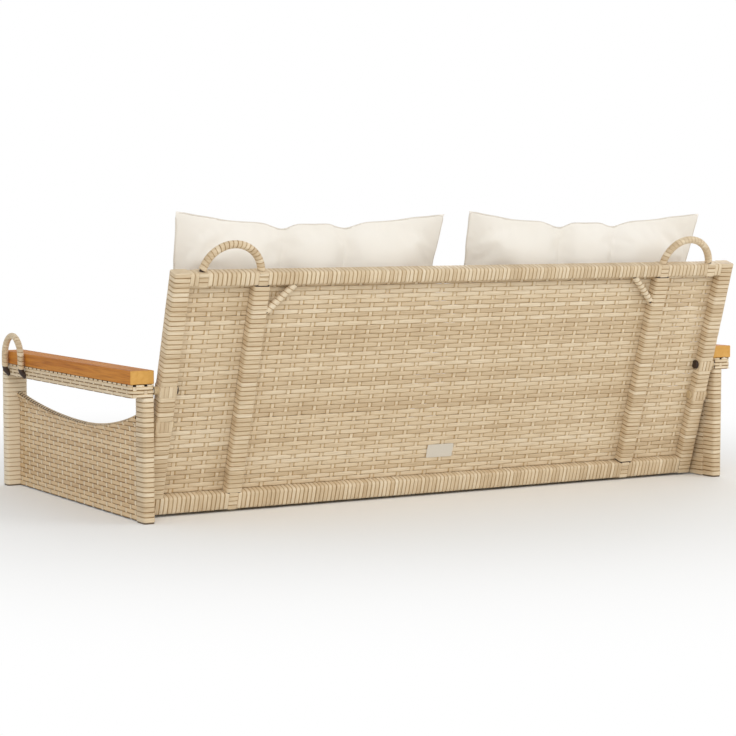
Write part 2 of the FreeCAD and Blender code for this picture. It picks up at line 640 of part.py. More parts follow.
def seat_rail_wrap(rail):
    low, high = rail
    a, b = seat_side(SEAT_RAIL_WIDTH / 2)
    side = bar(a, b, "y", CORNER, STRIP)
    room = [bar(low, high, "x", CORNER, STRIP, STRIP), side, mirrored(side)]
    room += seat_cross_bars(SEAT_RAIL_WIDTH / 2, STRIP_SLACK)
    return bar(low, high, "x", CORNER).cut(room)


def seat_side_wrap():
    low, high = seat_side(-SEAM)
    shell = bar(low, high, "y", CORNER).cut(bar(low, high, "y", CORNER, STRIP))
    heads = seat_bolt_holes(SEAT_SIDE_INNER - STRIP, SEAT_SIDE_INNER + SKIN, BOLT_HEAD + 4 * BOLT_ROOM)
    shanks = seat_bolt_holes(SEAT_HALF - SKIN, SEAT_HALF + STRIP, BOLT + 2 * BOLT_ROOM)
    return shell.cut(heads + shanks)


def seat_deck():
    run = SEAT_SIDE_REAR - SEAT_SIDE_FRONT - 2 * SEAM
    plate = woven_plate(run, 2 * (SEAT_SIDE_INNER - SEAM))
    plate.rotate(V(0, 0, 0), V(1, 0, 0), -90)
    box = plate.BoundBox
    plate.translate(V(-SEAT_SIDE_INNER + SEAM - box.XMin, SEAT_SIDE_FRONT + SEAM - box.YMin,
                      DECK_BOTTOM - box.ZMin))
    return plate


# Fasteners

def bolt(seat, end):
    """A bolt along X: its head is seated at one place and its shank runs to another."""
    head = rod(seat - V(BOLT_HEAD_HEIGHT, 0, 0), seat, BOLT_HEAD)
    return fused([head, rod(seat - V(BOLT_HEAD_HEIGHT / 2, 0, 0), end, BOLT)])


def rivet_nut(face):
    """A rivet nut set in a tube's wall, its flange on the tube's face."""
    flange = rod(face - V(NUT_FLANGE_THICKNESS, 0, 0), face, NUT_FLANGE)
    barrel = rod(face - V(NUT_FLANGE_THICKNESS, 0, 0), face + V(NUT_LENGTH, 0, 0), NUT_BARREL)
    bore = rod(face - V(NUT_LENGTH, 0, 0), face + V(2 * NUT_LENGTH, 0, 0), BOLT + 2 * BOLT_ROOM)
    return fused([flange, barrel]).cut(bore)


def back_bolts():
    seat_x, end_x = STILE_INNER + SKIN, ARM_INNER + SKIN + BACK_BOLT_REACH
    return [bolt(V(seat_x, p.y, p.z), V(end_x, p.y, p.z)) for p in arm_bolt_axes()]


def back_rivet_nuts():
    return [rivet_nut(V(ARM_INNER + SKIN, p.y, p.z)) for p in arm_bolt_axes()]


def back_spacers():
    start, end = BACK_HALF + STRIP_SLACK, ARM_INNER - STRIP_SLACK
    bores = arm_bolt_holes(start - STRIP, end + STRIP, BOLT + 2 * BOLT_ROOM)
    return [s.cut(b) for s, b in zip(arm_bolt_holes(start, end, SPACER), bores)]


def bolt_caps():
    """Push-on caps over the bolt heads, domed at the edge."""
    caps = []
    head_face = STILE_INNER + SKIN - BOLT_HEAD_HEIGHT
    for p in arm_bolt_axes():
        rim = V(STILE_INNER - STRIP_SLACK, p.y, p.z)
        floor = V(head_face - BOLT_ROOM, p.y, p.z)
        top = floor - V(BOLT_CAP_WALL, 0, 0)
        cap = rod(rim, top, BOLT_CAP)
        crown = [e for e in cap.Edges if abs(e.BoundBox.XMax - top.x) < BOLT_ROOM / 2]
        cap = cap.makeFillet(BOLT_CAP_WALL, crown)
        caps.append(cap.cut(rod(rim + V(STRIP, 0, 0), floor, BOLT_HEAD + 2 * BOLT_ROOM)))
    return caps


def seat_bolts():
    seat_x = SEAT_SIDE_INNER + SKIN
    end_x = SILL_INNER + NUT_LENGTH - STRIP
    return [bolt(V(seat_x, y, SEAT_BOLT_HEIGHT), V(end_x, y, SEAT_BOLT_HEIGHT))
            for y in seat_bolt_places()]


def seat_rivet_nuts():
    """Flush rivet nuts in the arm's sill: their flange is let into the gap beside the seat."""
    nuts = []
    for y in seat_bolt_places():
        face = V(SILL_INNER, y, SEAT_BOLT_HEIGHT)
        barrel = rod(face, face + V(NUT_LENGTH, 0, 0), NUT_BARREL)
        bore = rod(face - V(STRIP, 0, 0), face + V(2 * NUT_LENGTH, 0, 0), BOLT + 2 * BOLT_ROOM)
        nuts.append(barrel.cut(bore))
    return nuts


def armrest_screws():
    screws = []
    seat = ARM_RAIL_BOTTOM + SKIN
    for p in screw_places():
        head = rod(p + V(0, 0, seat - SCREW_HEAD_HEIGHT), p + V(0, 0, seat), SCREW_HEAD)
        tip = ARMREST_BOTTOM + SCREW_BITE - SCREW / 2
        shank = rod(p + V(0, 0, seat - SCREW_HEAD_HEIGHT / 2), p + V(0, 0, tip), SCREW)
        screws.append(fused([head, shank]))
    return screws


def both_sides(solids):
    return Part.makeCompound(solids + [mirrored(s) for s in solids])


# Cushions

SEAT_CUSHION_BOTTOM = SEAT_TOP + REST_GAP
SEAT_CUSHION_REAR = SEAT_REAR + SEAT_CUSHION_REAR_GAP
BACK_CUSHION_MIDDLE = BACK_DEPTH + REST_GAP + BACK_CUSHION_BULGE


def seat_cushion_section(share):
    """The pad's outline across the seat, at a share of its half width from the middle."""
    edge = abs(share)
    full = (1 - edge ** 24) ** 0.5
    x = share * (SEAT_HALF - SEAT_CUSHION_SIDE_GAP)
    draw = SEAT_CUSHION_PULL * (1 - edge ** 4)
    front = SEAT_FRONT + draw + SEAT_CUSHION_BULGE
    rear = SEAT_CUSHION_REAR - draw - SEAT_CUSHION_BULGE
    lift = (1 - full) * SEAT_CUSHION_EDGE / 4
    low = SEAT_CUSHION_BOTTOM + lift
    side = SEAT_CUSHION_BOTTOM + SEAT_CUSHION_EDGE - lift
    crown = side + (SEAT_CUSHION_THICKNESS - SEAT_CUSHION_EDGE) * (1 - edge ** 6)
    swell = SEAT_CUSHION_BULGE * (0.4 + 0.6 * full)
    half_up = (low + side) / 2
    a, b = V(x, front, low), V(x, rear, low)
    c, d = V(x, rear, side), V(x, front, side)
    return Part.Wire([line(a, b), arc(b, V(x, rear + swell, half_up), c),
                      arc(c, V(x, (front + rear) / 2, crown + STRIP_SLACK), d),
                      arc(d, V(x, front - swell, half_up), a)])


def seat_cushion():
    half = [0.0, 0.5, 0.8, 0.93, 0.98, 1.0]
    shares = [-s for s in reversed(half[1:])] + half
    pad = Part.makeLoft([seat_cushion_section(s) for s in shares], True, False)
    return pad.common(bar(V(-FAR, -FAR, SEAT_CUSHION_BOTTOM), V(FAR, FAR, FAR), "z"))


def seat_cushion_height(y):
    """Top of the seat pad at its middle, at a given place from front to rear."""
    front = SEAT_FRONT + SEAT_CUSHION_PULL + SEAT_CUSHION_BULGE
    rear = SEAT_CUSHION_REAR - SEAT_CUSHION_PULL - SEAT_CUSHION_BULGE
    off = (y - (front + rear) / 2) / ((rear - front) / 2)
    crown = SEAT_CUSHION_THICKNESS - SEAT_CUSHION_EDGE
    return SEAT_CUSHION_BOTTOM + SEAT_CUSHION_EDGE + STRIP_SLACK + crown * (1 - off * off)


def back_cushion_foot():
    """Height along the slope at which the lower knife edge just rests on the seat pad."""
    height = BOTTOM_RAIL_HEIGHT
    for _ in range(8):
        tip = leaned_point(0, BACK_CUSHION_MIDDLE + BACK_CUSHION_SEAM / 2, height)
        height += (seat_cushion_height(tip.y) + 2 * REST_GAP - tip.z) / math.cos(TILT)
    return height


def back_cushion_section(share, foot):
    """The pillow's lens-shaped outline at a share of its half width from its middle."""
    edge = abs(share)
    half = BACK_CUSHION_WIDTH / 2
    x = share * half
    tuft = math.exp(-((edge * half - TUFT_SPACING / 2) / TUFT_WIDTH) ** 2)
    flange = max(0.0, 1 - (edge / 0.95) ** 2.5) ** 0.8
    swell = BACK_CUSHION_SEAM + BACK_CUSHION_BULGE * flange * (1 - TUFT_PINCH * tuft)
    swell = min(swell, BACK_CUSHION_BULGE)
    sag = 1 - edge ** 1.6
    top = BACK_CUSHION_TIP - BACK_CUSHION_SAG * sag - TUFT_DIP * tuft
    low = foot + BACK_CUSHION_SAG / 2 * sag
    middle, half_seam = -BACK_CUSHION_MIDDLE, BACK_CUSHION_SEAM / 2
    waist = (top + low) / 2
    a, b = V(x, middle - half_seam, low), V(x, middle + half_seam, low)
    c, d = V(x, middle + half_seam, top), V(x, middle - half_seam, top)
    return Part.Wire([line(a, b), arc(b, V(x, middle + swell, waist), c),
                      line(c, d), arc(d, V(x, middle - swell, waist), a)])


def back_cushion():
    """The left pillow on the upright back, its short sides drawn in between the corners."""
    half_tuft = TUFT_SPACING / BACK_CUSHION_WIDTH
    half = [0.0, half_tuft / 2, half_tuft, half_tuft * 1.5, 0.5, 0.7, 0.85, 0.95, 1.0]
    shares = [-s for s in reversed(half[1:])] + half
    foot = back_cushion_foot()
    pillow = Part.makeLoft([back_cushion_section(s, foot) for s in shares], True, False)
    reach = BACK_CUSHION_WIDTH / 2
    chord = (BACK_CUSHION_TIP - foot) / 2
    pull = BACK_CUSHION_SIDE_PULL
    radius = (chord * chord + pull * pull) / (2 * pull)
    deep = 4 * BACK_CUSHION_BULGE
    nips = []
    for side in (-1, 1):
        hub = V(side * (reach - pull + radius), -BACK_CUSHION_MIDDLE - deep / 2, (BACK_CUSHION_TIP + foot) / 2)
        nips.append(Part.makeCylinder(radius, deep, hub, V(0, 1, 0)))
    rest = bar(V(-FAR, -FAR, -FAR), V(FAR, -BACK_DEPTH - REST_GAP, FAR), "z")
    pillow = pillow.cut(nips).common(rest)
    pillow.translate(V(BACK_CUSHION_CENTRE, 0, 0))
    return pillow


# Every node of the bench, by name

def pair(name, solid):
    return {"left_" + name: solid, "right_" + name: mirrored(solid)}


def build():
    nodes = {
        "back_frame": lean(back_frame()),
        "back_top_rail_wrap": lean(back_top_rail_wrap()),
        "back_bottom_rail_wrap": lean(back_rail_wrap(*BOTTOM_RAIL)),
        "center_back_panel": lean(back_panel(-UPRIGHT_INNER, UPRIGHT_INNER)),
        "seat_frame": seat_frame(),
        "seat_front_rail_wrap": seat_rail_wrap(SEAT_FRONT_RAIL),
        "seat_rear_rail_wrap": seat_rail_wrap(SEAT_REAR_RAIL),
        "seat_deck": seat_deck(),
        "seat_cushion": seat_cushion(),
        "front_foot_plugs": both_sides([foot_plug(FRONT_POST)]),
        "rear_foot_plugs": both_sides([foot_plug(REAR_POST)]),
        "back_bolts": both_sides(back_bolts()),
        "back_bolt_caps": both_sides(bolt_caps()),
        "back_bolt_spacers": both_sides(back_spacers()),
        "back_rivet_nuts": both_sides(back_rivet_nuts()),
        "seat_bolts": both_sides(seat_bolts()),
        "seat_rivet_nuts": both_sides(seat_rivet_nuts()),
        "armrest_screws": both_sides(armrest_screws()),
    }
    nodes.update(pair("back_stile_wrap", lean(stile_wrap())))
    nodes.update(pair("back_upright_wrap", lean(upright_wrap())))
    nodes.update(pair("back_brace_wrap", lean(brace_wrap())))
    nodes.update(pair("rear_loop_wrap", lean(rear_loop_wrap())))
    nodes.update(pair("back_panel", lean(back_panel(UPRIGHT_OUTER, STILE_INNER))))
    nodes.update(pair("back_cushion", lean(back_cushion())))
    nodes.update(pair("arm_frame", arm_frame()))
    nodes.update(pair("arm_rail_wrap", arm_rail_wrap()))
    nodes.update(pair("front_post_wrap", front_post_wrap()))
    nodes.update(pair("rear_post_wrap", rear_post_wrap()))
    nodes.update(pair("arm_panel", arm_panel()))
    nodes.update(pair("arm_border", arm_border()))
    nodes.update(pair("front_loop_wrap", front_loop_wrap()))
    nodes.update(pair("armrest", armrest()))
    nodes.update(pair("seat_side_wrap", seat_side_wrap()))
    return nodes


os.makedirs("parts", exist_ok=True)
for name, shape in build().items():
    shape.exportStep(os.path.join("parts", name + ".step"))
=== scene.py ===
import math

import bmesh
import bpy
import numpy as np
from mathutils import Matrix, Vector


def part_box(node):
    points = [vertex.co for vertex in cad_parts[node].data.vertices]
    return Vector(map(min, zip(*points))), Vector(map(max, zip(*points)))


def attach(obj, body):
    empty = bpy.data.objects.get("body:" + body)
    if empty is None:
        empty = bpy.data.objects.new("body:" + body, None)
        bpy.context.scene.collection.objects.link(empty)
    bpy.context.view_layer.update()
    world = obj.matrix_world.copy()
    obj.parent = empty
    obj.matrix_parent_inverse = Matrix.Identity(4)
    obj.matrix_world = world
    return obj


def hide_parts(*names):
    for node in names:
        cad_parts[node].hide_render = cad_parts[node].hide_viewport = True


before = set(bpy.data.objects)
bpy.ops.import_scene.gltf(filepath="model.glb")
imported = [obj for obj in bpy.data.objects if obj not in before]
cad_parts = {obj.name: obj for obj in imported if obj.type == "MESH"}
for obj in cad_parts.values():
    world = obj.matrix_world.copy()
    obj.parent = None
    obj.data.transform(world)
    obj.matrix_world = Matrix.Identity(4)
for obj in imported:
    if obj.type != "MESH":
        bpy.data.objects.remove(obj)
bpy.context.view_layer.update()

# Welded frames: the back, both arms and the seat are steel tube and rod, powder coated dark brown.
# Strip hides nearly all of them. The bare feet of the front loops and thin gaps between turns
# of strip are where the coating shows.


def linear(hex_colour):
    """An sRGB hex colour as linear red, green, blue and alpha."""
    parts = [int(hex_colour[i:i + 2], 16) / 255 for i in (1, 3, 5)]
    return tuple(c / 12.92 if c <= 0.04045 else ((c + 0.055) / 1.055) ** 2.4 for c in parts) + (1.0,)


def add(owner, kind, settings=None, links=None):
    """One shader node, with its settings and what feeds it: an output, or a node for its first output."""
    node = owner.node_tree.nodes.new("ShaderNode" + kind)
    for key, value in (settings or {}).items():
        if key == "stops":
            bands = node.color_ramp.elements
            bands[0].position, bands[0].color = value[0][0], linear(value[0][1])
            bands[1].position, bands[1].color = value[-1][0], linear(value[-1][1])
            for place, colour in value[1:-1]:
                bands.new(place).color = linear(colour)
        elif isinstance(key, str) and key not in node.inputs:
            setattr(node, key, value)
        else:
            node.inputs[key].default_value = value
    for key, source in (links or {}).items():
        output = source.outputs[0] if hasattr(source, "outputs") else source
        owner.node_tree.links.new(output, node.inputs[key])
    return node


def finish(name):
    """A new material with no nodes yet."""
    material = bpy.data.materials.new(name)
    material.use_nodes = True
    material.node_tree.nodes.clear()
    return material


def wear(node_name, material):
    """Give a CAD node its finish."""
    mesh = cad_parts[node_name].data
    mesh.materials.clear()
    mesh.materials.append(material)


def speckled(name, dark, light, speck, relief, depth, roughness):
    """A finish of two close tones, whose specks also stand up a little."""
    material = finish(name)
    place = add(material, "TexCoord").outputs["Object"]
    grit = add(material, "TexNoise", {"Scale": 1 / speck, "Detail": 2.0}, {"Vector": place})
    tone = add(material, "ValToRGB", {"stops": [(0.3, dark), (0.7, light)]}, {"Fac": grit})
    bump = add(material, "Bump", {"Strength": relief, "Distance": depth}, {"Height": grit})
    shader = add(material, "BsdfPrincipled", {"Roughness": roughness}, {"Base Color": tone, "Normal": bump})
    add(material, "OutputMaterial", None, {"Surface": shader})
    return material


# Powder coat is a baked film: half matt, with an orange-peel ripple about 1.5 mm across.
coat = speckled("powder_coated_steel_dark_brown", "#2A1B14", "#3C291F", 0.0015, 0.25, 0.0002, 0.5)
for steel in ("back_frame", "seat_frame", "left_arm_frame", "right_arm_frame"):
    wear(steel, coat)

# Back frame: rails, stiles, uprights and corner braces, each wound side by side with flat strip.
# The strip is extruded polyethylene, about 7 mm wide and 1 mm thick, in mixed straw tones.
# Rails and stiles meet at the corners, and short patches cover welds and bolts.
BACK_TILT = math.radians(17.0)
STRIP_PITCH = 0.0069
STRAW = ("#D0BA99", "#DDC9A9", "#E5D3B5", "#EFE1C8")
# By chance, each turn is wound more or less aslant, tipped and tight.
SLANT_CHANCE, TIP_CHANCE, TIGHT_CHANCE = 0.009, 0.006, 0.0035
MULTIPLIED = {"data_type": "RGBA", "blend_type": "MULTIPLY"}


def polyethylene_strip(name, across, tilt=0.0, shade="#E0D0B5", straw=STRAW):
    """Straw-toned strip: tone changes from strip to strip and streaks run along it. Painted shade darkens its edges,
    most of all the lower one, and where it dives under another strip. Painted light makes stakes a little lighter.
    Real streaks are about 0.4 mm wide; they are drawn at 1.1 mm so that they show."""
    material = finish(name)
    place = add(material, "TexCoord").outputs["Object"]
    stretch = [1 / 0.030] * 3
    stretch[across] = 1 / 0.0011
    stood = add(material, "Mapping", {"Rotation": (tilt, 0.0, 0.0)}, {"Vector": place})
    drawn = add(material, "Mapping", {"Scale": stretch}, {"Vector": stood})
    grain = add(material, "TexNoise", {"Scale": 1.0, "Detail": 3.0, "Roughness": 0.6}, {"Vector": drawn})
    cloud = add(material, "TexNoise", {"Scale": 1 / 0.055, "Detail": 2.0}, {"Vector": place})
    island = add(material, "NewGeometry")
    drift = add(material, "Math", {"operation": "MULTIPLY_ADD", 1: 0.5, 2: -0.05}, {0: cloud})
    level = add(material, "Math", {"operation": "MULTIPLY_ADD", 1: 0.6},
                {0: island.outputs["Random Per Island"], 2: drift})
    tone = add(material, "ValToRGB", {"stops": list(zip((0.12, 0.40, 0.65, 0.95), straw))}, {"Fac": level})
    streak = add(material, "ValToRGB", {"stops": [(0.30, "#BCA88C"), (0.52, "#F4EFE6"), (0.75, "#FFFFFF")]},
                 {"Fac": grain})
    grained = add(material, "Mix", {**MULTIPLIED, 0: 0.45}, {6: tone, 7: streak})
    strip = add(material, "Attribute", {"attribute_name": "strip"})
    where = add(material, "SeparateXYZ", None, {"Vector": strip.outputs["Vector"]})
    # Painted light: the strip attribute's Z mixes in a lighter tone, for stakes and some windings.
    paler = add(material, "Mix", {"data_type": "RGBA", 7: linear("#EADBC0")},
                {0: where.outputs["Z"], 6: grained.outputs[2]})
    # Painted shade along the strip's edges: darkest at the lower edge, a little at the upper edge.
    side = add(material, "MapRange", {"From Min": -1.0, "From Max": 1.0}, {"Value": where.outputs["Y"]})
    rim = add(material, "ValToRGB",
              {"stops": [(0.0, "#8A7250"), (0.09, "#C4AE8E"), (0.20, "#FFFFFF"), (0.95, "#FFFFFF"), (1.0, "#EBDFCB")]},
              {"Fac": side})
    rimmed = add(material, "Mix", {**MULTIPLIED, 0: 1.0}, {6: paler.outputs[2], 7: rim})
    # Painted shade where the strip dives under a crossing strip, in the given shade colour.
    half_turn = add(material, "Math", {"operation": "MULTIPLY", 1: math.pi}, {0: where.outputs["X"]})
    rise = add(material, "Math", {"operation": "COSINE"}, {0: half_turn})
    height = add(material, "MapRange", {"From Min": -1.0, "From Max": 1.0}, {"Value": rise})
    dive = add(material, "ValToRGB", {"stops": [(0.0, shade), (0.045, shade), (0.11, "#FFFFFF")]}, {"Fac": height})
    colour = add(material, "Mix", {**MULTIPLIED, 0: 1.0}, {6: rimmed.outputs[2], 7: dive})
    bump = add(material, "Bump", {"Strength": 0.3, "Distance": 0.0003}, {"Height": grain})
    shader = add(material, "BsdfPrincipled", {"Roughness": 0.5, "IOR": 1.5, "Specular IOR Level": 0.35},
                 {"Base Color": colour.outputs[2], "Normal": bump})
    add(material, "OutputMaterial", None, {"Surface": shader})
    return material


strip_x = polyethylene_strip("polyethylene_strip_across_x", 0)
strip_y = polyethylene_strip("polyethylene_strip_across_y", 1)
strip_z = polyethylene_strip("polyethylene_strip_across_z", 2)
strip_slope = polyethylene_strip("polyethylene_strip_across_slope", 2, BACK_TILT)


def upright(node_name):
    """Lowest and highest corner of a node of the back, with the back stood upright."""
    stand = Matrix.Rotation(BACK_TILT, 3, "X")
    spots = np.array([stand @ v.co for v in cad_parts[node_name].data.vertices])
    return Vector(spots.min(0)), Vector(spots.max(0))


def spots_of(piece):
    """A piece's points as an array."""
    flat = np.empty(len(piece.data.vertices) * 3)
    piece.data.vertices.foreach_get("co", flat)
    return flat.reshape(-1, 3)


def move_spots(piece, spots):
    piece.data.vertices.foreach_set("co", np.ascontiguousarray(spots, float).ravel())
    piece.data.update()
    return piece


def mark_strip(piece, along, across, paler=0.0):
    """Remember each point's place on its strip: crossings passed, lower to upper edge as -1 to 1 for the painted edge
    shade, and the share of painted light.
    """
    places = np.empty((len(piece.data.vertices), 3), np.float32)
    places[:, 0], places[:, 1], places[:, 2] = np.ravel(along), np.ravel(across), paler
    piece.data.attributes.new("strip", "FLOAT_VECTOR", "POINT").data.foreach_set("vector", places.ravel())


def pick_edges(piece, wanted):
    """In edit mode, select just the edges that pass a test on their two ends."""
    bpy.context.tool_settings.mesh_select_mode = (False, True, False)
    mesh = bmesh.from_edit_mesh(piece.data)
    for edge in mesh.edges:
        edge.select = wanted(edge.verts[0].co, edge.verts[1].co)
    mesh.select_flush_mode()
    bmesh.update_edit_mesh(piece.data)


def shaped(piece, kind, **settings):
    """Give a piece a modifier and apply it."""
    change = piece.modifiers.new("change", kind)
    for key, value in settings.items():
        setattr(change, key, value)
    bpy.context.view_layer.objects.active = piece
    bpy.ops.object.modifier_apply(modifier=change.name)


def repeat(piece, count, step):
    """Copies of a piece side by side, as one mesh."""
    shaped(piece, "ARRAY", use_relative_offset=False, use_constant_offset=True, constant_offset_displace=step,
           count=count)


def joined(parts):
    """Several parts as one piece."""
    bpy.ops.object.select_all(action="DESELECT")
    for part in parts:
        part.select_set(True)
    bpy.context.view_layer.objects.active = parts[0]
    if len(parts) > 1:
        bpy.ops.object.join()
    return bpy.context.view_layer.objects.active


def winding(low, high, axis, corner, material, pitch=STRIP_PITCH, slant=0.0, seed=1, paler=0.0,
            gap=-0.0002, rim=1.12):
    """Turns of strip side by side round a bar that fills a box. Each turn is wound a little askew."""
    low, high = Vector(low), Vector(high)
    size = high - low
    u, v = ((1, 2), (2, 0), (0, 1))[axis]
    turns = max(1, round(size[axis] / pitch))
    step = size[axis] / turns
    width = step - gap
    soft = min(0.0008, 0.3 * width)
    bpy.ops.mesh.primitive_plane_add(size=1.0)
    turn = bpy.context.object
    turn.scale = (size[u], size[v], 1.0)
    bpy.ops.object.transform_apply(location=True, rotation=True, scale=True)
    bpy.ops.object.mode_set(mode="EDIT")
    bpy.ops.mesh.select_all(action="SELECT")
    bpy.ops.mesh.bevel(offset=corner, segments=3, affect="VERTICES")
    bpy.ops.mesh.select_all(action="SELECT")
    bpy.ops.mesh.extrude_region_move(TRANSFORM_OT_translate={"value": (0.0, 0.0, width)})
    pick_edges(turn, lambda a, b: abs(a.z - b.z) < 1e-6)
    bpy.ops.mesh.bevel(offset=soft, segments=1, affect="EDGES")
    bpy.ops.mesh.select_all(action="SELECT")
    bpy.ops.mesh.normals_make_consistent(inside=False)
    bpy.ops.object.mode_set(mode="OBJECT")
    one = spots_of(turn)
    # Place across each turn, from -1 to 1, for the painted shade along its edges; the first and last turns get less of
    # it.
    across = np.tile(rim * (2 * one[:, 2] / width - 1), (turns, 1))
    across[0], across[-1] = np.maximum(across[0], -0.5), np.minimum(across[-1], 0.5)
    repeat(turn, turns, (0.0, 0.0, step))
    bpy.ops.object.shade_smooth_by_angle(angle=math.radians(35))
    # Painted light: some windings are made lighter through the strip attribute.
    mark_strip(turn, 0.0, across, paler)
    spots = spots_of(turn).reshape(turns, -1, 3)
    chance = np.random.default_rng(seed)
    askew = slant + chance.normal(0.0, SLANT_CHANCE, (turns, 1))
    spots[..., 2] += askew * spots[..., 0] + chance.normal(0.0, TIP_CHANCE, (turns, 1)) * spots[..., 1]
    spots[..., :2] *= 1.0 + chance.normal(-0.002, TIGHT_CHANCE, (turns, 1, 1))
    spots = spots.reshape(-1, 3)
    placed = np.empty_like(spots)
    placed[:, u] = spots[:, 0] + (low[u] + high[u]) / 2
    placed[:, v] = spots[:, 1] + (low[v] + high[v]) / 2
    placed[:, axis] = spots[:, 2] + low[axis]
    turn.data.materials.append(material)
    return move_spots(turn, placed)


def lean(piece):
    """Tip a piece made on the upright back to the slope of the real one."""
    piece.data.transform(Matrix.Rotation(-BACK_TILT, 4, "X"))
    return piece


def flipped(piece):
    """Turn a left piece into a right one."""
    piece.data.transform(Matrix.Scale(-1.0, 4, (1.0, 0.0, 0.0)))
    piece.data.flip_normals()
    return piece


def mirrored(piece):
    """A copy of the piece for the bench's other side."""
    other = piece.copy()
    other.data = piece.data.copy()
    bpy.context.collection.objects.link(other)
    return flipped(other)


def fixed(piece, name, *nodes):
    """The piece belongs to the bench itself and stands for these nodes."""
    piece.name = piece.data.name = name
    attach(piece, "bench")
    if nodes:
        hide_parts(*nodes)


top_low, top_high = upright("back_top_rail_wrap")
foot_low, foot_high = upright("back_bottom_rail_wrap")
stile_low, stile_high = upright("left_back_stile_wrap")
post_low, post_high = upright("left_back_upright_wrap")
cap_low, cap_high = upright("back_bolt_caps")
UPRIGHT_WIDTH, CAP_RADIUS = 0.026, 0.007
post_low.x = post_high.x - UPRIGHT_WIDTH
bolt_heights = (cap_low.z + CAP_RADIUS, cap_high.z - CAP_RADIUS)
LOOP_MIDDLE, LOOP_REACH = 0.405, 0.047
leg_spots = (LOOP_MIDDLE - LOOP_REACH, LOOP_MIDDLE + LOOP_REACH)
# Corners of a wound tube and of a patch, and those of a wound rod as a share of its thickness.
TUBE_CORNER, PATCH_CORNER, ROD_CORNER = 0.004, 0.0012, 0.48
# Half lengths of the patches over welds and bolts, and how far a patch lies in from the turns.
WELD_PATCH, BOLT_PATCH, PATCH_INSET = 0.0075, 0.0085, 0.0004
# Turns run a little way into the next tube, or stop short of it with a dark slit.
RAIL_LAP, STILE_LAP, SLIT = 0.0012, 0.001, 0.0014


def rail_winding(low, high, right_end, left_end, patches, seed):
    """A rail: turns of strip, with patches of short level strips over the welds."""
    cuts = sorted([-p for p in patches] + list(patches))
    starts = [right_end] + [c + WELD_PATCH for c in cuts]
    ends = [c - WELD_PATCH for c in cuts] + [left_end]
    parts = []
    for i, (start, end) in enumerate(zip(starts, ends)):
        parts.append(winding((start, low.y, low.z), (end, high.y, high.z), 0, TUBE_CORNER, strip_x, seed=seed + i))
    for i, c in enumerate(cuts):
        parts.append(winding((c - WELD_PATCH, low.y + PATCH_INSET, low.z),
                             (c + WELD_PATCH, high.y - PATCH_INSET, high.z - PATCH_INSET),
                             2, PATCH_CORNER, strip_slope, seed=seed + 20 + i))
    return lean(joined(parts))


rail_end = stile_low.x + RAIL_LAP
fixed(rail_winding(top_low, top_high, -rail_end, rail_end, leg_spots, 10), "top_rail_winding", "back_top_rail_wrap")
fixed(rail_winding(foot_low, foot_high, -stile_low.x, stile_high.x, [(post_low.x + post_high.x) / 2], 50),
      "bottom_rail_winding", "back_bottom_rail_wrap")


def stile_winding(start, seed):
    """An outer stile up to the top, with upright strips over its two bolts."""
    spans, parts = [], []
    for height in bolt_heights:
        spans.append((start, height - BOLT_PATCH))
        start = height + BOLT_PATCH
        parts.append(winding((stile_low.x, stile_low.y + PATCH_INSET, height - BOLT_PATCH),
                             (stile_high.x, stile_high.y - PATCH_INSET, height + BOLT_PATCH),
                             0, PATCH_CORNER, strip_x, 0.0065, seed=seed, rim=0.9))
    spans.append((start, top_high.z))
    for i, (a, b) in enumerate(spans):
        parts.append(winding((stile_low.x, stile_low.y, a), (stile_high.x, stile_high.y, b), 2, TUBE_CORNER,
                             strip_slope, seed=seed + 1 + i))
    return lean(joined(parts))


fixed(stile_winding(foot_high.z - STILE_LAP, 90), "left_stile_winding", "left_back_stile_wrap")
fixed(flipped(stile_winding(foot_low.z, 100)), "right_stile_winding", "right_back_stile_wrap")


def upright_winding(foot_slit, seed):
    """An inner upright. A dark slit is left where its turns end at the patch on a rail."""
    return lean(winding((post_low.x, post_low.y, post_low.z + foot_slit),
                        (post_high.x, post_high.y, post_high.z - SLIT), 2, TUBE_CORNER, strip_slope, seed=seed))


fixed(upright_winding(0.0, 120), "left_upright_winding", "left_back_upright_wrap")
fixed(flipped(upright_winding(SLIT, 121)), "right_upright_winding", "right_back_upright_wrap")


def follow(piece, path):
    """Bend a straight winding along a path, which gives a point, an outward side and a flank."""
    spots = spots_of(piece)
    point, side, flank = path(spots[:, 2])
    return move_spots(piece, point + side * spots[:, :1] + flank * spots[:, 1:2])


def wound_rod(thick, start, end, material, pitch, slant, seed, **look):
    """A straight length of wound rod, to be bent along a path."""
    half = thick / 2
    return winding((-half, -half, start), (half, half, end), 2, thick * ROD_CORNER, material, pitch, slant, seed,
                   **look)


BRACE_LEG, BRACE_DEPTH, BRACE, BRACE_GAP = 0.041, 0.0065, 0.010, 0.001
brace_top = np.array([post_low.x - BRACE_LEG, top_high.y - BRACE_DEPTH, top_low.z])


def brace_path(s):
    half = math.sqrt(0.5)
    point = brace_top + s[:, None] * np.array([half, 0.0, -half])
    return point, np.array([[half, 0.0, half]]), np.array([[0.0, 1.0, 0.0]])


# Painted light makes the brace's turns lighter.
brace = wound_rod(BRACE, BRACE_GAP, BRACE_LEG * math.sqrt(2) - BRACE_GAP, strip_slope, 0.0080, 0.28, 140,
                  paler=0.6, rim=0.95)
brace = lean(follow(brace, brace_path))
fixed(mirrored(brace), "right_brace_winding", "right_back_brace_wrap")
fixed(brace, "left_brace_winding", "left_back_brace_wrap")

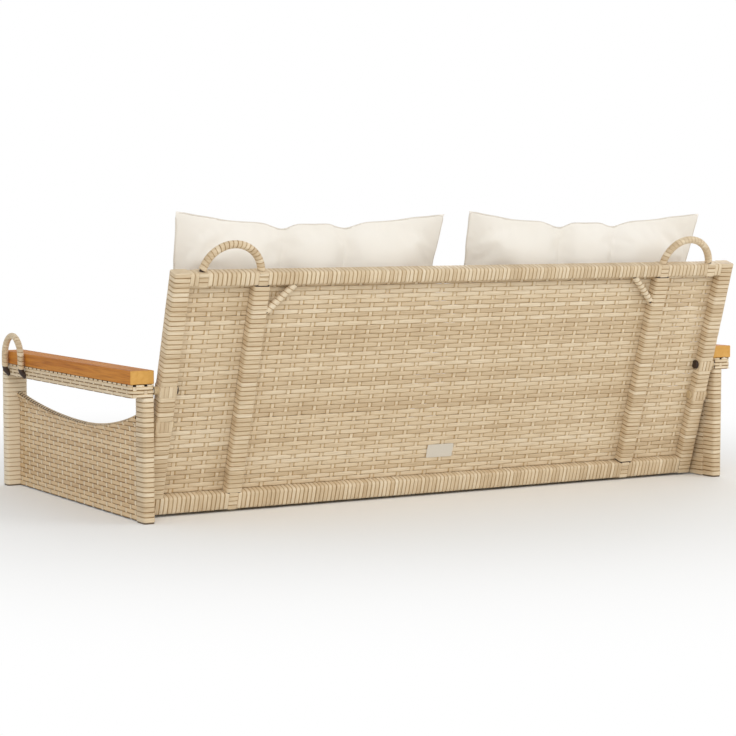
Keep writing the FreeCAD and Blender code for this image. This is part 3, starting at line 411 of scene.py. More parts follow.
# Rear hanging loops: half rings of steel rod welded to the top rail and wound with the same strip.
# The winding stops just short of the rail at the outer leg, where the dark rod shows.
ROD_WOUND = 0.0115
OUTER_GAP, INNER_GAP = 0.0015, 0.0002
rear_loop_low, rear_loop_high = upright("left_rear_loop_wrap")
loop_centre = np.array([LOOP_MIDDLE, (rear_loop_low.y + rear_loop_high.y) / 2,
                        rear_loop_high.z - ROD_WOUND / 2 - LOOP_REACH])


def rear_loop_path(s):
    turn = s / LOOP_REACH
    side = np.stack([np.cos(turn), np.zeros_like(turn), np.sin(turn)], -1)
    return loop_centre + LOOP_REACH * side, side, np.array([[0.0, 1.0, 0.0]])


leg_angle = math.asin((top_high.z - loop_centre[2]) / LOOP_REACH)
rear_loop = wound_rod(ROD_WOUND, LOOP_REACH * leg_angle + OUTER_GAP, LOOP_REACH * (math.pi - leg_angle) - INNER_GAP,
                      strip_slope, 0.0066, 0.22, 160, rim=0.95)
rear_loop = lean(follow(rear_loop, rear_loop_path))
fixed(mirrored(rear_loop), "right_rear_loop_winding", "right_rear_loop_wrap")
fixed(rear_loop, "left_rear_loop_winding", "left_rear_loop_wrap")

# Woven panels of the back: level strips pass over one stake and under the next, row against row.
# Stakes are the same strip, set upright about 24 mm apart, so short ends show between the rows, made lighter by painted
# light.
STAKE_PITCH, STAKE_WIDTH = 0.0237, 0.0050
# Stakes are thinner than the rows and swing less, and rows lap by a hair.
STAKE_THICK, STAKE_SWING, ROW_LAP = 0.8, 0.30, 0.0001
# A panel's strips lie this far out from the middle of its CAD form.
OUTWARD = 0.0006
# By chance, rows swing more or less, lie high or low and wander, and stakes stand off their places.
SWING_CHANCE, ROW_CHANCE, STAKE_CHANCE = 0.06, 0.00008, 0.0004
WANDER, WANDER_RUN = 0.00012, 0.11


def block(x, y, z):
    """A block of this size about the origin, left in edit mode."""
    bpy.ops.mesh.primitive_cube_add(size=1.0)
    start = bpy.context.object
    start.scale = (x, y, z)
    bpy.ops.object.transform_apply(location=True, rotation=True, scale=True)
    bpy.ops.object.mode_set(mode="EDIT")
    return start


def weave(length, height, row_material, stake_material, seed, pitch=STRIP_PITCH, stake_pitch=STAKE_PITCH,
          thick=0.0011, swing=0.00060, grain=0.0066, rim=0.95, stake_painted_light=0.25):
    """A flat weave: x along the rows, y out of the face, z up through the rows."""
    rows = max(1, round(height / pitch))
    step = height / rows
    width = step + ROW_LAP
    soft = 0.45 * thick
    cuts = max(2, round(length / grain))
    first = max(1, round(math.sqrt(cuts)))
    second = max(1, round(cuts / first))
    strip = block(length, thick, width)
    pick_edges(strip, lambda a, b: abs(a.x - b.x) > length / 2)
    bpy.ops.mesh.bevel(offset=soft, segments=2, affect="EDGES")
    for pieces in (first, second):
        if pieces > 1:
            pick_edges(strip, lambda a, b: abs(a.x - b.x) > 1e-5 and max(abs(a.y - b.y), abs(a.z - b.z)) < 1e-6)
            bpy.ops.mesh.subdivide(number_cuts=pieces - 1)
    bpy.ops.object.mode_set(mode="OBJECT")
    one = spots_of(strip)
    # Place across each row, for the painted shade along its edges.
    across = np.tile(rim * 2 * one[:, 2] / width, rows)
    repeat(strip, rows, (0.0, 0.0, step))
    bpy.ops.object.shade_smooth_by_angle(angle=math.radians(50))
    strip.data.materials.append(row_material)
    spots = spots_of(strip).reshape(rows, -1, 3)
    chance = np.random.default_rng(seed)
    spots[..., 0] += length / 2
    along = spots[..., 0] / stake_pitch - 0.5 + np.arange(rows)[:, None] % 2
    spots[..., 1] += swing * (1 + chance.normal(0.0, SWING_CHANCE, (rows, 1))) * np.cos(math.pi * along)
    wander = np.sin(spots[..., 0] / WANDER_RUN + chance.uniform(0, 6.28, (rows, 1)))
    spots[..., 2] += step / 2 + chance.normal(0.0, ROW_CHANCE, (rows, 1)) + WANDER * wander
    move_spots(strip, spots.reshape(-1, 3))
    mark_strip(strip, along, across)

    stake = block(STAKE_WIDTH, STAKE_THICK * thick, height)
    pick_edges(stake, lambda a, b: abs(a.z - b.z) > height / 2)
    bpy.ops.mesh.bevel(offset=0.25 * thick, segments=1, affect="EDGES")
    pick_edges(stake, lambda a, b: abs(a.z - b.z) > height / 2)
    bpy.ops.mesh.subdivide(number_cuts=min(99, 2 * rows - 1))
    bpy.ops.object.mode_set(mode="OBJECT")
    count = max(1, int(length / stake_pitch - 0.5) + 1)
    # Place across each stake, for the painted shade along its edges.
    across = np.tile(1.1 * spots_of(stake)[:, 0] / STAKE_WIDTH, count)
    repeat(stake, count, (stake_pitch, 0.0, 0.0))
    stake.data.materials.append(stake_material)
    spots = spots_of(stake).reshape(count, -1, 3)
    along = (spots[..., 2] + height / 2) / step + 0.5 + np.arange(count)[:, None]
    mark_strip(stake, along, across, stake_painted_light)
    spots[..., 1] += STAKE_SWING * swing * np.cos(math.pi * along)
    spots[..., 0] += 0.5 * stake_pitch + chance.normal(0.0, STAKE_CHANCE, (count, 1))
    spots[..., 2] += height / 2
    move_spots(stake, spots.reshape(-1, 3))
    return joined([strip, stake])


for word, seed in (("center", 201), ("left", 202), ("right", 203)):
    low, high = upright(word + "_back_panel")
    panel = weave(high.x - low.x, high.z - low.z, strip_slope, strip_x, seed)
    move_spots(panel, spots_of(panel) + np.array([low.x, (low.y + high.y) / 2 + OUTWARD, low.z]))
    fixed(lean(panel), word + "_back_weave", word + "_back_panel")

# Arms: a front post and a rear post, both wound, with a woven side panel between them.
# The panel's upper edge is a scoop, finished by strip rolled round a bent rod from post to post.
# Inside, behind the seat, turns of strip cover the foot bar and line the corner flush with the rear post.
front_low, front_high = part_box("left_front_post_wrap")
rear_low, rear_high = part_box("left_rear_post_wrap")
panel_low, panel_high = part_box("left_arm_panel")
COURSE, ARM_STAKES, POST_CORNER = 0.006977, 0.0170, 0.005
FOOT_BAR_X, FOOT_COURSES, LINING_COURSES = 0.5012, 4, 18
# The lining keeps clear of the post's inner face, the seat and the panel, and its end is buried in the post.
POST_CLEAR, SEAT_CLEAR, PANEL_CLEAR, BURIED = 0.0005, 0.001, 0.0002, 0.0040


def both_sides(piece, name, *nodes):
    """Fix a left piece and its right twin."""
    twin = mirrored(piece)
    fixed(piece, "left_" + name, *["left_" + node for node in nodes])
    fixed(twin, "right_" + name, *["right_" + node for node in nodes])


# Painted light makes the front posts' turns lighter, with a little less painted edge shade.
both_sides(winding(front_low, front_high, 2, POST_CORNER, strip_z, COURSE, seed=301, paler=0.9, rim=1.0),
           "front_post_winding", "front_post_wrap")
both_sides(winding(rear_low, rear_high, 2, POST_CORNER, strip_z, COURSE, seed=302), "rear_post_winding",
           "rear_post_wrap")
seat_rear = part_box("left_seat_side_wrap")[1].y
foot_top, lining_top = panel_low.z + FOOT_COURSES * COURSE, panel_low.z + LINING_COURSES * COURSE
for name, inner, foot, head, seed in (("foot_bar_winding", FOOT_BAR_X, panel_low.z, foot_top, 303),
                                      ("corner_lining_winding", rear_low.x + POST_CLEAR, foot_top, lining_top, 304)):
    both_sides(winding((inner, seat_rear + SEAT_CLEAR, foot), (panel_low.x - PANEL_CLEAR, rear_low.y + BURIED, head),
                       2, PATCH_CORNER, strip_z, COURSE, seed=seed), name)

# The scoop's lowest point, back from the front post and up from the floor, and its rise to each post.
SCOOP_BACK, SCOOP_HEIGHT, FRONT_RISE, REAR_RISE = 0.293, 0.128, 0.025, 0.027
BORDER, BORDER_DROP, BORDER_GAP = 0.0080, 0.0055, 0.0005
scoop_low_y = front_low.y + SCOOP_BACK
scoop_low_z = SCOOP_HEIGHT - BORDER_DROP
front_run, rear_run = scoop_low_y - front_high.y, rear_low.y - scoop_low_y
front_bow = (front_run ** 2 + FRONT_RISE ** 2) / (2 * FRONT_RISE)
rear_bow = (rear_run ** 2 + REAR_RISE ** 2) / (2 * REAR_RISE)
border_x = (panel_low.x + panel_high.x) / 2


def border_path(s):
    bow = np.where(s < 0, front_bow, rear_bow)
    turn = s / bow
    point = np.stack([np.full_like(s, border_x), scoop_low_y + bow * np.sin(turn),
                      scoop_low_z + bow * (1 - np.cos(turn))], -1)
    side = np.stack([np.zeros_like(s), -np.sin(turn), np.cos(turn)], -1)
    return point, side, np.array([[1.0, 0.0, 0.0]])


front_end = -front_bow * math.asin(front_run / front_bow) + BORDER_GAP
rear_end = rear_bow * math.asin(rear_run / rear_bow) - BORDER_GAP
open_turns = wound_rod(BORDER, front_end, 0.0, strip_y, 0.0090, 0.55, 310, gap=0.0030)
close_turns = wound_rod(BORDER, 0.0, rear_end, strip_y, 0.0072, 0.55, 311, gap=0.0010)
both_sides(follow(joined([open_turns, close_turns]), border_path), "border_winding", "arm_border")

# Near the scoop the weave flares out over the border, and stops just above the middle of its rod.
FLARE, LIP, OVER_BORDER, SPARE = 0.012, 0.0013, 0.0004, 0.008
# The arm's side weave has a shaded copy of the strip: warmer, darker tones and a much darker dive shade, all painted
# shade.
strip_shaded_side = polyethylene_strip("polyethylene_strip_arm_side_painted_shade", 2, shade="#8C7454",
                                straw=("#CFB189", "#DBBF96", "#E4C9A1", "#EED7B2"))
side_weave = weave(panel_high.y - panel_low.y, scoop_low_z + BORDER_DROP + REAR_RISE - panel_low.z, strip_shaded_side, strip_y,
                   320, COURSE, ARM_STAKES, rim=1.15, stake_painted_light=0.5)
flat = spots_of(side_weave)
placed = np.stack([border_x + OUTWARD + flat[:, 1], panel_high.y - flat[:, 0], panel_low.z + flat[:, 2]], -1)
off = placed[:, 1] - scoop_low_y
bow = np.where(off < 0, front_bow, rear_bow)
rod_height = scoop_low_z + bow - np.sqrt(bow ** 2 - off ** 2)
roof = rod_height + LIP
spare = placed[:, 2] - roof > SPARE
placed[:, 2] = np.minimum(placed[:, 2], roof)
flare = np.clip((placed[:, 2] - rod_height + FLARE) / FLARE, 0.0, 1.0)
placed[:, 0] += (BORDER / 2 + OVER_BORDER) * flare ** 2 * (3 - 2 * flare)
move_spots(side_weave, placed)
bpy.ops.object.mode_set(mode="EDIT")
bpy.context.tool_settings.mesh_select_mode = (True, False, False)
bpy.ops.mesh.select_all(action="DESELECT")
shape = bmesh.from_edit_mesh(side_weave.data)
for spot, far in zip(shape.verts, spare):
    spot.select = bool(far)
shape.select_flush_mode()
bmesh.update_edit_mesh(side_weave.data)
bpy.ops.mesh.delete(type="VERT")
bpy.ops.object.mode_set(mode="OBJECT")
both_sides(side_weave, "side_weave", "arm_panel")

# Arm rails: the rail tube is woven over, with level rows round its sides and rows along its underside.
# Its outer rear corner is rounded. Under the wood, a narrow top strip leaves a dark notch at each stake.
rail_low, rail_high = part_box("left_arm_rail_wrap")
rail_low.x, rail_high.x = front_low.x, front_high.x
SKIN_DEPTH, TOP_STRIP, UNDER_INSET = 0.00085, 0.0027, 0.002
SKIN_STRIP = {"thick": 0.0007, "swing": 0.00038, "rim": 1.5}
REAR_CORNER, SMALL_CORNER = 0.010, 0.004


def rail_path(s):
    """Round the rail: from the outer front, along the outside, the rear end, the inside and the front."""
    x0, x1 = rail_low.x + SKIN_DEPTH, rail_high.x - SKIN_DEPTH
    y0, y1 = rail_low.y + SKIN_DEPTH, rail_high.y - SKIN_DEPTH
    small, big = SMALL_CORNER - SKIN_DEPTH, REAR_CORNER - SKIN_DEPTH
    legs = [((x1, y0 + small), (0, 1), y1 - y0 - small - big, big, (x1 - big, y1 - big), 0.0),
            ((x1 - big, y1), (-1, 0), x1 - x0 - big - small, small, (x0 + small, y1 - small), math.pi / 2),
            ((x0, y1 - small), (0, -1), y1 - y0 - 2 * small, small, (x0 + small, y0 + small), math.pi),
            ((x0 + small, y0), (1, 0), x1 - x0 - 2 * small, small, (x1 - small, y0 + small), 1.5 * math.pi)]
    point = np.zeros((len(s), 2))
    side = np.zeros((len(s), 2))
    begun = 0.0
    for start, way, run, bend, hub, angle in legs:
        here = (s >= begun - 1e-9) & (s <= begun + run + 1e-9)
        step = (s - begun)[:, None]
        point[here] = (np.array(start) + step * np.array(way))[here]
        side[here] = np.array([way[1], -way[0]])
        begun += run
        arc_run = bend * math.pi / 2
        here = (s > begun) & (s <= begun + arc_run + 1e-9)
        turn = angle + (s - begun) / bend
        outward = np.stack([np.cos(turn), np.sin(turn)], -1)
        point[here] = (np.array(hub) + bend * outward)[here]
        side[here] = outward[here]
        begun += arc_run
    return point, side, begun


RAIL_ROUND = rail_path(np.zeros(1))[2]


def round_rail(piece, foot):
    """Lay a flat weave round the rail's four sides."""
    flat = spots_of(piece)
    point, side, _ = rail_path(np.clip(RAIL_ROUND - flat[:, 0], 0.0, RAIL_ROUND))
    return move_spots(piece, np.column_stack([point + side * flat[:, 1:2], foot + flat[:, 2]]))


rail_sides = weave(RAIL_ROUND, rail_high.z - rail_low.z - TOP_STRIP, strip_z, strip_y, 330, 0.0056, ARM_STAKES,
                   grain=0.0040, **SKIN_STRIP)
round_rail(rail_sides, rail_low.z)
under = weave(rail_high.y - rail_low.y - 2 * UNDER_INSET, rail_high.x - rail_low.x - 2 * UNDER_INSET, strip_x, strip_y,
              331, 0.0064, ARM_STAKES, **SKIN_STRIP)
flat = spots_of(under)
move_spots(under, np.stack([rail_low.x + UNDER_INSET + flat[:, 2], rail_high.y - UNDER_INSET - flat[:, 0],
                            rail_low.z + SKIN_DEPTH - flat[:, 1]], -1))
top_strip = block(ARM_STAKES - STAKE_WIDTH, 2 * SKIN_STRIP["thick"], TOP_STRIP - 0.0001)
bpy.ops.mesh.select_all(action="SELECT")
bpy.ops.mesh.bevel(offset=0.0003, segments=1, affect="EDGES")
pick_edges(top_strip, lambda a, b: abs(a.x - b.x) > 0.01)
bpy.ops.mesh.subdivide(number_cuts=3)
bpy.ops.object.mode_set(mode="OBJECT")
repeat(top_strip, int(RAIL_ROUND / ARM_STAKES), (ARM_STAKES, 0.0, 0.0))
mark_strip(top_strip, 0.0, 0.0)
top_strip.data.materials.append(strip_z)
move_spots(top_strip, spots_of(top_strip) + np.array([ARM_STAKES, 0.0, 0.0]))
round_rail(top_strip, rail_high.z - TOP_STRIP / 2)
both_sides(joined([rail_sides, under, top_strip]), "rail_weave", "arm_rail_wrap")

# Front hanging loops: steel rod bent to a narrow arch beside each armrest, wound aslant like rope.
# The feet below the winding are bare and turn in to the rail, where they are welded.
loop_low, loop_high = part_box("left_front_loop_wrap")
FRONT_REACH, FRONT_WOUND = 0.0345, 0.0100
arch_x, arch_y = (loop_low.x + loop_high.x) / 2, (loop_low.y + loop_high.y) / 2
arch_z = loop_high.z - ROD_WOUND / 2 - FRONT_REACH
leg_run = arch_z - loop_low.z


def front_loop_path(s):
    turn = np.clip((s - leg_run) / FRONT_REACH, 0.0, math.pi)
    side = np.stack([np.zeros_like(s), -np.cos(turn), np.sin(turn)], -1)
    point = np.array([arch_x, arch_y, arch_z]) + FRONT_REACH * side
    point[:, 2] += np.minimum(s - leg_run, 0.0) - np.maximum(s - leg_run - math.pi * FRONT_REACH, 0.0)
    return point, side, np.array([[1.0, 0.0, 0.0]])


arch = wound_rod(FRONT_WOUND, 0.0, 2 * leg_run + math.pi * FRONT_REACH, strip_z, 0.0064, 0.40, 340, rim=0.95)
both_sides(follow(arch, front_loop_path), "front_loop_winding", "front_loop_wrap")

# Armrests: planed boards of a honey-coloured hardwood, oiled, screwed on from below.
# Grain runs along the board. Its figure shows as stripes about 9 mm apart, and its pores as fine dashes,
# about 0.3 mm wide but drawn at 1.2 mm so that they show. Oil leaves it nearly matt.
wood = finish("oiled_acacia_board")
place = add(wood, "TexCoord").outputs["Object"]
board = add(wood, "Mapping", {"Scale": (1 / 0.009, 1 / 0.22, 1 / 0.009)}, {"Vector": place})
figure = add(wood, "TexNoise", {"Scale": 1.0, "Detail": 4.0, "Roughness": 0.55, "Distortion": 0.6},
             {"Vector": board})
fine = add(wood, "Mapping", {"Scale": (1 / 0.0012, 1 / 0.06, 1 / 0.0012)}, {"Vector": place})
pores = add(wood, "TexNoise", {"Scale": 1.0, "Detail": 2.0}, {"Vector": fine})
tone = add(wood, "ValToRGB",
           {"stops": [(0.25, "#A66122"), (0.45, "#C27A2E"), (0.60, "#D08A37"), (0.80, "#B26C28")]},
           {"Fac": figure})
dashes = add(wood, "ValToRGB", {"stops": [(0.30, "#A88A66"), (0.50, "#FFFFFF")]}, {"Fac": pores})
long_grain = add(wood, "Mix", {**MULTIPLIED, 0: 0.5}, {6: tone, 7: dashes})
face = add(wood, "NewGeometry")
parts = add(wood, "SeparateXYZ", None, {"Vector": face.outputs["True Normal"]})
end_side = add(wood, "Math", {"operation": "ABSOLUTE"}, {0: parts.outputs["Y"]})
end_face = add(wood, "Math", {"operation": "GREATER_THAN", 1: 0.5}, {0: end_side})
rings = add(wood, "ValToRGB", {"stops": [(0.3, "#D09A4C"), (0.7, "#DDAB5E")]}, {"Fac": figure})
colour = add(wood, "Mix", {"data_type": "RGBA"}, {0: end_face, 6: long_grain.outputs[2], 7: rings})
bump = add(wood, "Bump", {"Strength": 0.2, "Distance": 0.0003}, {"Height": pores})
shader = add(wood, "BsdfPrincipled", {"Roughness": 0.62, "IOR": 1.5, "Specular IOR Level": 0.2},
             {"Base Color": colour.outputs[2], "Normal": bump})
add(wood, "OutputMaterial", None, {"Surface": shader})
for armrest in ("left_armrest", "right_armrest"):
    wear(armrest, wood)

# Seat: four wound rails of steel tube with a woven deck let in flush with their tops.
# It is bolted between the arms, under the seat cushion.
for word, axis, strip, seed in (("seat_front_rail", 0, strip_x, 401), ("seat_rear_rail", 0, strip_x, 402),
                                ("left_seat_side", 1, strip_y, 403), ("right_seat_side", 1, strip_y, 404)):
    low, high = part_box(word + "_wrap")
    fixed(winding(low, high, axis, TUBE_CORNER, strip, seed=seed), word + "_winding", word + "_wrap")
deck_low, deck_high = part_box("seat_deck")
deck = weave(deck_high.x - deck_low.x, deck_high.y - deck_low.y, strip_y, strip_x, 410, grain=0.0120)
flat = spots_of(deck)
move_spots(deck, np.stack([deck_low.x + flat[:, 0], deck_high.y - flat[:, 2],
                           (deck_low.z + deck_high.z) / 2 + OUTWARD + flat[:, 1]], -1))
fixed(deck, "seat_deck_weave", "seat_deck")

# Bolts, nuts and screws are zinc plated. Caps, spacers and foot plugs are moulded plastic.
# Zinc plate is a bright metal with clouds about 4 mm across.
zinc = finish("zinc_plated_steel")
place = add(zinc, "TexCoord").outputs["Object"]
cloud = add(zinc, "TexNoise", {"Scale": 1 / 0.004, "Detail": 3.0}, {"Vector": place})
tone = add(zinc, "ValToRGB", {"stops": [(0.3, "#A7A9A6"), (0.7, "#C9CAC6")]}, {"Fac": cloud})
gloss = add(zinc, "MapRange", {"To Min": 0.28, "To Max": 0.45}, {"Value": cloud})
shader = add(zinc, "BsdfPrincipled", {"Metallic": 1.0}, {"Base Color": tone, "Roughness": gloss})
add(zinc, "OutputMaterial", None, {"Surface": shader})
for metal in ("back_bolts", "back_rivet_nuts", "seat_bolts", "seat_rivet_nuts", "armrest_screws"):
    wear(metal, zinc)

# Moulded plastic is half matt, with a fine grain from the mould about 0.8 mm across.
MOULD_GRAIN = (0.0008, 0.2, 0.0001, 0.45)
dark_plastic = speckled("moulded_polypropylene_dark_brown", "#2A1B14", "#38261C", *MOULD_GRAIN)
straw_plastic = speckled("moulded_polypropylene_straw", "#BFA780", "#CBB48E", *MOULD_GRAIN)
foot_plastic = speckled("moulded_polyethylene_brown", "#5B4A36", "#6B5841", *MOULD_GRAIN)
wear("back_bolt_spacers", straw_plastic)
wear("front_foot_plugs", foot_plastic)
wear("rear_foot_plugs", foot_plastic)
# The upper pair of bolt caps is dark, the lower pair is straw coloured and hardly shows.
wear("back_bolt_caps", dark_plastic)
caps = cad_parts["back_bolt_caps"].data
caps.materials.append(straw_plastic)
caps_low, caps_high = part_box("back_bolt_caps")
for cap_face in caps.polygons:
    cap_face.material_index = int(cap_face.center.z < (caps_low.z + caps_high.z) / 2)

# Sewn label: a plain patch of woven tape, left blank, fixed on the rear weave near the foot of the back.
# The tape's ribs are about 0.5 mm apart; they are drawn at 1.2 mm so that they show.
weave_low, weave_high = upright("center_back_panel")
LABEL_WIDTH, LABEL_THICK, LABEL_HEIGHT = 0.047, 0.0008, 0.0215
LABEL_X, LABEL_RISE, LABEL_CORNER, LABEL_EDGE = 0.002, 0.0385, 0.0015, 0.0002
label = block(LABEL_WIDTH, LABEL_THICK, LABEL_HEIGHT)
pick_edges(label, lambda a, b: abs(a.y - b.y) > LABEL_THICK / 2)
bpy.ops.mesh.bevel(offset=LABEL_CORNER, segments=3, affect="EDGES")
bpy.ops.mesh.select_all(action="SELECT")
bpy.ops.mesh.bevel(offset=LABEL_EDGE, segments=1, affect="EDGES")
bpy.ops.object.mode_set(mode="OBJECT")
move_spots(label, spots_of(label) + np.array([LABEL_X, weave_high.y - 0.0001, weave_low.z + LABEL_RISE]))


def ribbed(name, dark, light, way, rib_width, relief, roughness):
    """Cloth with ribs in two close tones. A wave texture of scale 0.314 / w repeats every w."""
    material = finish(name)
    place = add(material, "TexCoord").outputs["Object"]
    rib = add(material, "TexWave", {"bands_direction": way, "Scale": 0.314 / rib_width}, {"Vector": place})
    tone = add(material, "ValToRGB", {"stops": [(0.2, dark), (0.8, light)]}, {"Fac": rib.outputs["Fac"]})
    bump = add(material, "Bump", {"Strength": relief, "Distance": 0.0002}, {"Height": rib.outputs["Fac"]})
    shader = add(material, "BsdfPrincipled", {"Roughness": roughness}, {"Base Color": tone, "Normal": bump})
    add(material, "OutputMaterial", None, {"Surface": shader})
    return material


tape = ribbed("woven_polyester_tape_pale", "#CFC7B8", "#DFD8CB", "X", 0.0012, 0.2, 0.8)
label.data.materials.append(tape)
fixed(lean(label), "blank_label")

# Cushions: cream polyester covers stuffed with fibre. Two pillows lean on the back, a pad lies on the deck.
# Each starts from its own form, is blown up as cloth from inside, and is held at its seams and tufts.
# Threads are about 0.5 mm apart; they are drawn at 1.5 mm so that the weave shows.
cream = finish("woven_polyester_cream")
place = add(cream, "TexCoord").outputs["Object"]
cloud = add(cream, "TexNoise", {"Scale": 1 / 0.12, "Detail": 2.0}, {"Vector": place})
tone = add(cream, "ValToRGB", {"stops": [(0.3, "#EFE9DE"), (0.7, "#F4EFE6")]}, {"Fac": cloud})
warp, weft = (add(cream, "TexWave", {"bands_direction": way, "Scale": 0.314 / 0.0015, "Distortion": 0.4},
                  {"Vector": place}) for way in "XZ")
threads = add(cream, "Math", {"operation": "MULTIPLY"}, {0: warp.outputs["Fac"], 1: weft.outputs["Fac"]})
bump = add(cream, "Bump", {"Strength": 0.12, "Distance": 0.0004}, {"Height": threads})
shader = add(cream, "BsdfPrincipled", {"Roughness": 0.88, "Sheen Weight": 0.1, "Sheen Roughness": 0.5},
             {"Base Color": tone, "Normal": bump})
add(cream, "OutputMaterial", None, {"Surface": shader})

CLOTH = {"quality": 6, "mass": 0.25, "tension_stiffness": 12, "compression_stiffness": 12, "shear_stiffness": 4,
         "bending_stiffness": 1.5, "use_pressure": True, "vertex_group_mass": "sewn", "pin_stiffness": 1.0}
CLOTH_STEPS, EASE_STEPS, PRESS_STEPS, CORD_STATIONS = 20, 4, 6, 320


def stuffed(name, node_name, shrink, sewn, voxel, limit, pressure, slack):
    """A cushion blown up from its CAD form: sewn gives how firmly each point is held, from 0 to 1."""
    cushion = bpy.data.objects.new(name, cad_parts[node_name].data.copy())
    bpy.context.collection.objects.link(cushion)
    cushion.data.name = name
    cushion.data.materials.clear()
    bpy.ops.object.select_all(action="DESELECT")
    cushion.select_set(True)
    bpy.context.view_layer.objects.active = cushion
    bpy.ops.object.mode_set(mode="EDIT")
    bpy.ops.mesh.select_all(action="SELECT")
    bpy.ops.mesh.remove_doubles(threshold=0.00005)
    bpy.ops.object.mode_set(mode="OBJECT")
    move_spots(cushion, shrink(spots_of(cushion)))
    cushion.data.remesh_voxel_size = voxel
    bpy.ops.object.voxel_remesh()
    shaped(cushion, "SMOOTH", iterations=EASE_STEPS)
    start = spots_of(cushion)
    hold = np.clip(sewn(start), 0.0, 1.0)
    group = cushion.vertex_groups.new(name="sewn")
    for index in np.nonzero(hold > 0.02)[0]:
        group.add([int(index)], float(hold[index]), "REPLACE")
    cloth = cushion.modifiers.new("stuffing", "CLOTH")
    for key, value in CLOTH.items():
        setattr(cloth.settings, key, value)
    cloth.settings.shrink_min = -slack
    cloth.settings.uniform_pressure_force = pressure
    cloth.settings.effector_weights.gravity = 0.0
    cloth.point_cache.frame_start, cloth.point_cache.frame_end = 1, CLOTH_STEPS
    for step in range(1, CLOTH_STEPS + 1):
        bpy.context.scene.frame_set(step)
    shift = spots_of(cushion.evaluated_get(bpy.context.evaluated_depsgraph_get())) - start
    cushion.modifiers.remove(cloth)
    far = np.linalg.norm(shift, axis=1, keepdims=True)
    move_spots(cushion, start + shift * np.minimum(1.0, limit / np.maximum(far, 1e-9)))
    bpy.context.scene.frame_set(1)
    shaped(cushion, "SMOOTH", iterations=PRESS_STEPS, vertex_group="sewn", invert_vertex_group=True)
    shaped(cushion, "SUBSURF", levels=1, render_levels=1)
    bpy.ops.object.shade_smooth()
    cushion.data.materials.append(cream)
    return cushion


def laid(cushion, node_name):
    """The cushion lies loose: it moves as its own body."""
    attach(cushion, node_name)
    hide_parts(node_name)


# A cord is sewn into each seam; its cloth is made greyer, as painted shade along the seam. Its twist is about 2 mm
# long.
cord_shaded_cloth = ribbed("woven_polyester_cord_painted_shade", "#DCD5C9", "#E8E1D6", "DIAGONAL", 0.002, 0.0, 0.85)


def piped(cushion, name, node_name, flat, off, band, radius):
    """The cord follows the cushion's widest line near the plane of its seam."""
    near = np.nonzero(np.abs(off) < band)[0]
    reach = flat[near] / np.abs(flat[near]).max(0)
    share = np.arctan2(reach[:, 1], reach[:, 0]) / (2 * math.pi) + 0.5
    station = (share * CORD_STATIONS).astype(int) % CORD_STATIONS
    order = np.argsort(np.linalg.norm(reach, axis=1))
    widest = np.full(CORD_STATIONS, -1)
    widest[station[order]] = near[order]
    line = spots_of(cushion)[widest[widest >= 0]]
    for _ in range(3):
        line = (np.roll(line, 1, 0) + 2 * line + np.roll(line, -1, 0)) / 4
    bpy.ops.mesh.primitive_circle_add(vertices=len(line))
    move_spots(bpy.context.object, line)
    bpy.ops.object.convert(target="CURVE")
    bpy.context.object.data.bevel_depth = radius
    bpy.context.object.data.bevel_resolution = 1
    bpy.ops.object.convert(target="MESH")
    bpy.ops.object.shade_smooth()
    cord = bpy.context.object
    cord.name = cord.data.name = name
    cord.data.materials.clear()
    cord.data.materials.append(cord_shaded_cloth)
    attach(cord, node_name)


stand = np.array(Matrix.Rotation(BACK_TILT, 3, "X"))
pillow_low, pillow_high = upright("left_back_cushion")
pillow_centre = np.array((pillow_low + pillow_high) / 2)
pillow_half = np.array((pillow_high - pillow_low) / 2)
# Tufts stand this far to each side of the middle, and above and below it.
TUFT, TUFT_ROW = 0.052, 0.075
# Widths over which the thread holds: across the seam, and across and along a tuft.
SEAM_HOLD, TUFT_HOLD, TUFT_RUN = 0.006, 0.010, 0.012
# Heights of the sag beside a tuft line, of the notch on it and of the raised ends of the upper edge.
SAG, NOTCH, EAR = 0.0026, 0.0030, 0.005
# Shares by which creases and dimples thin a pillow, and by which its front is crowned.
CREASE, DIMPLE, HOLLOW, CROWN = 0.30, 0.36, 0.22, 0.22
PILLOW_THINNED, PAD_THINNED = 0.86, 0.92


def pillow_shrink(spots):
    """Thin a pillow a little, so that it has room to swell."""
    up = spots @ stand.T
    up[:, 1] = pillow_centre[1] + (up[:, 1] - pillow_centre[1]) * PILLOW_THINNED
    return up @ stand


def pillow_sewn(spots):
    """Held along the seam round the pillow, at four tufts, and lightly from the upper tufts to the top."""
    own = spots @ stand.T - pillow_centre
    own[:, 0] = np.abs(spots[:, 0]) - pillow_centre[0]
    reach = np.maximum(np.abs(own[:, 0]) / pillow_half[0], np.abs(own[:, 2]) / pillow_half[2])
    seam = np.exp(-(own[:, 1] / SEAM_HOLD) ** 2) * np.clip((reach - 0.80) / 0.10, 0.0, 1.0)
    off = np.abs(np.abs(own[:, 0]) - TUFT)
    row = np.abs(np.abs(own[:, 2]) - TUFT_ROW)
    tuft = np.exp(-(off / TUFT_HOLD) ** 2 - (row / TUFT_RUN) ** 2)
    crease = 0.35 * np.exp(-(off / 0.006) ** 2) * np.clip((own[:, 2] - 0.08) / 0.06, 0.0, 1.0)
    return np.maximum(np.maximum(seam, tuft), crease)


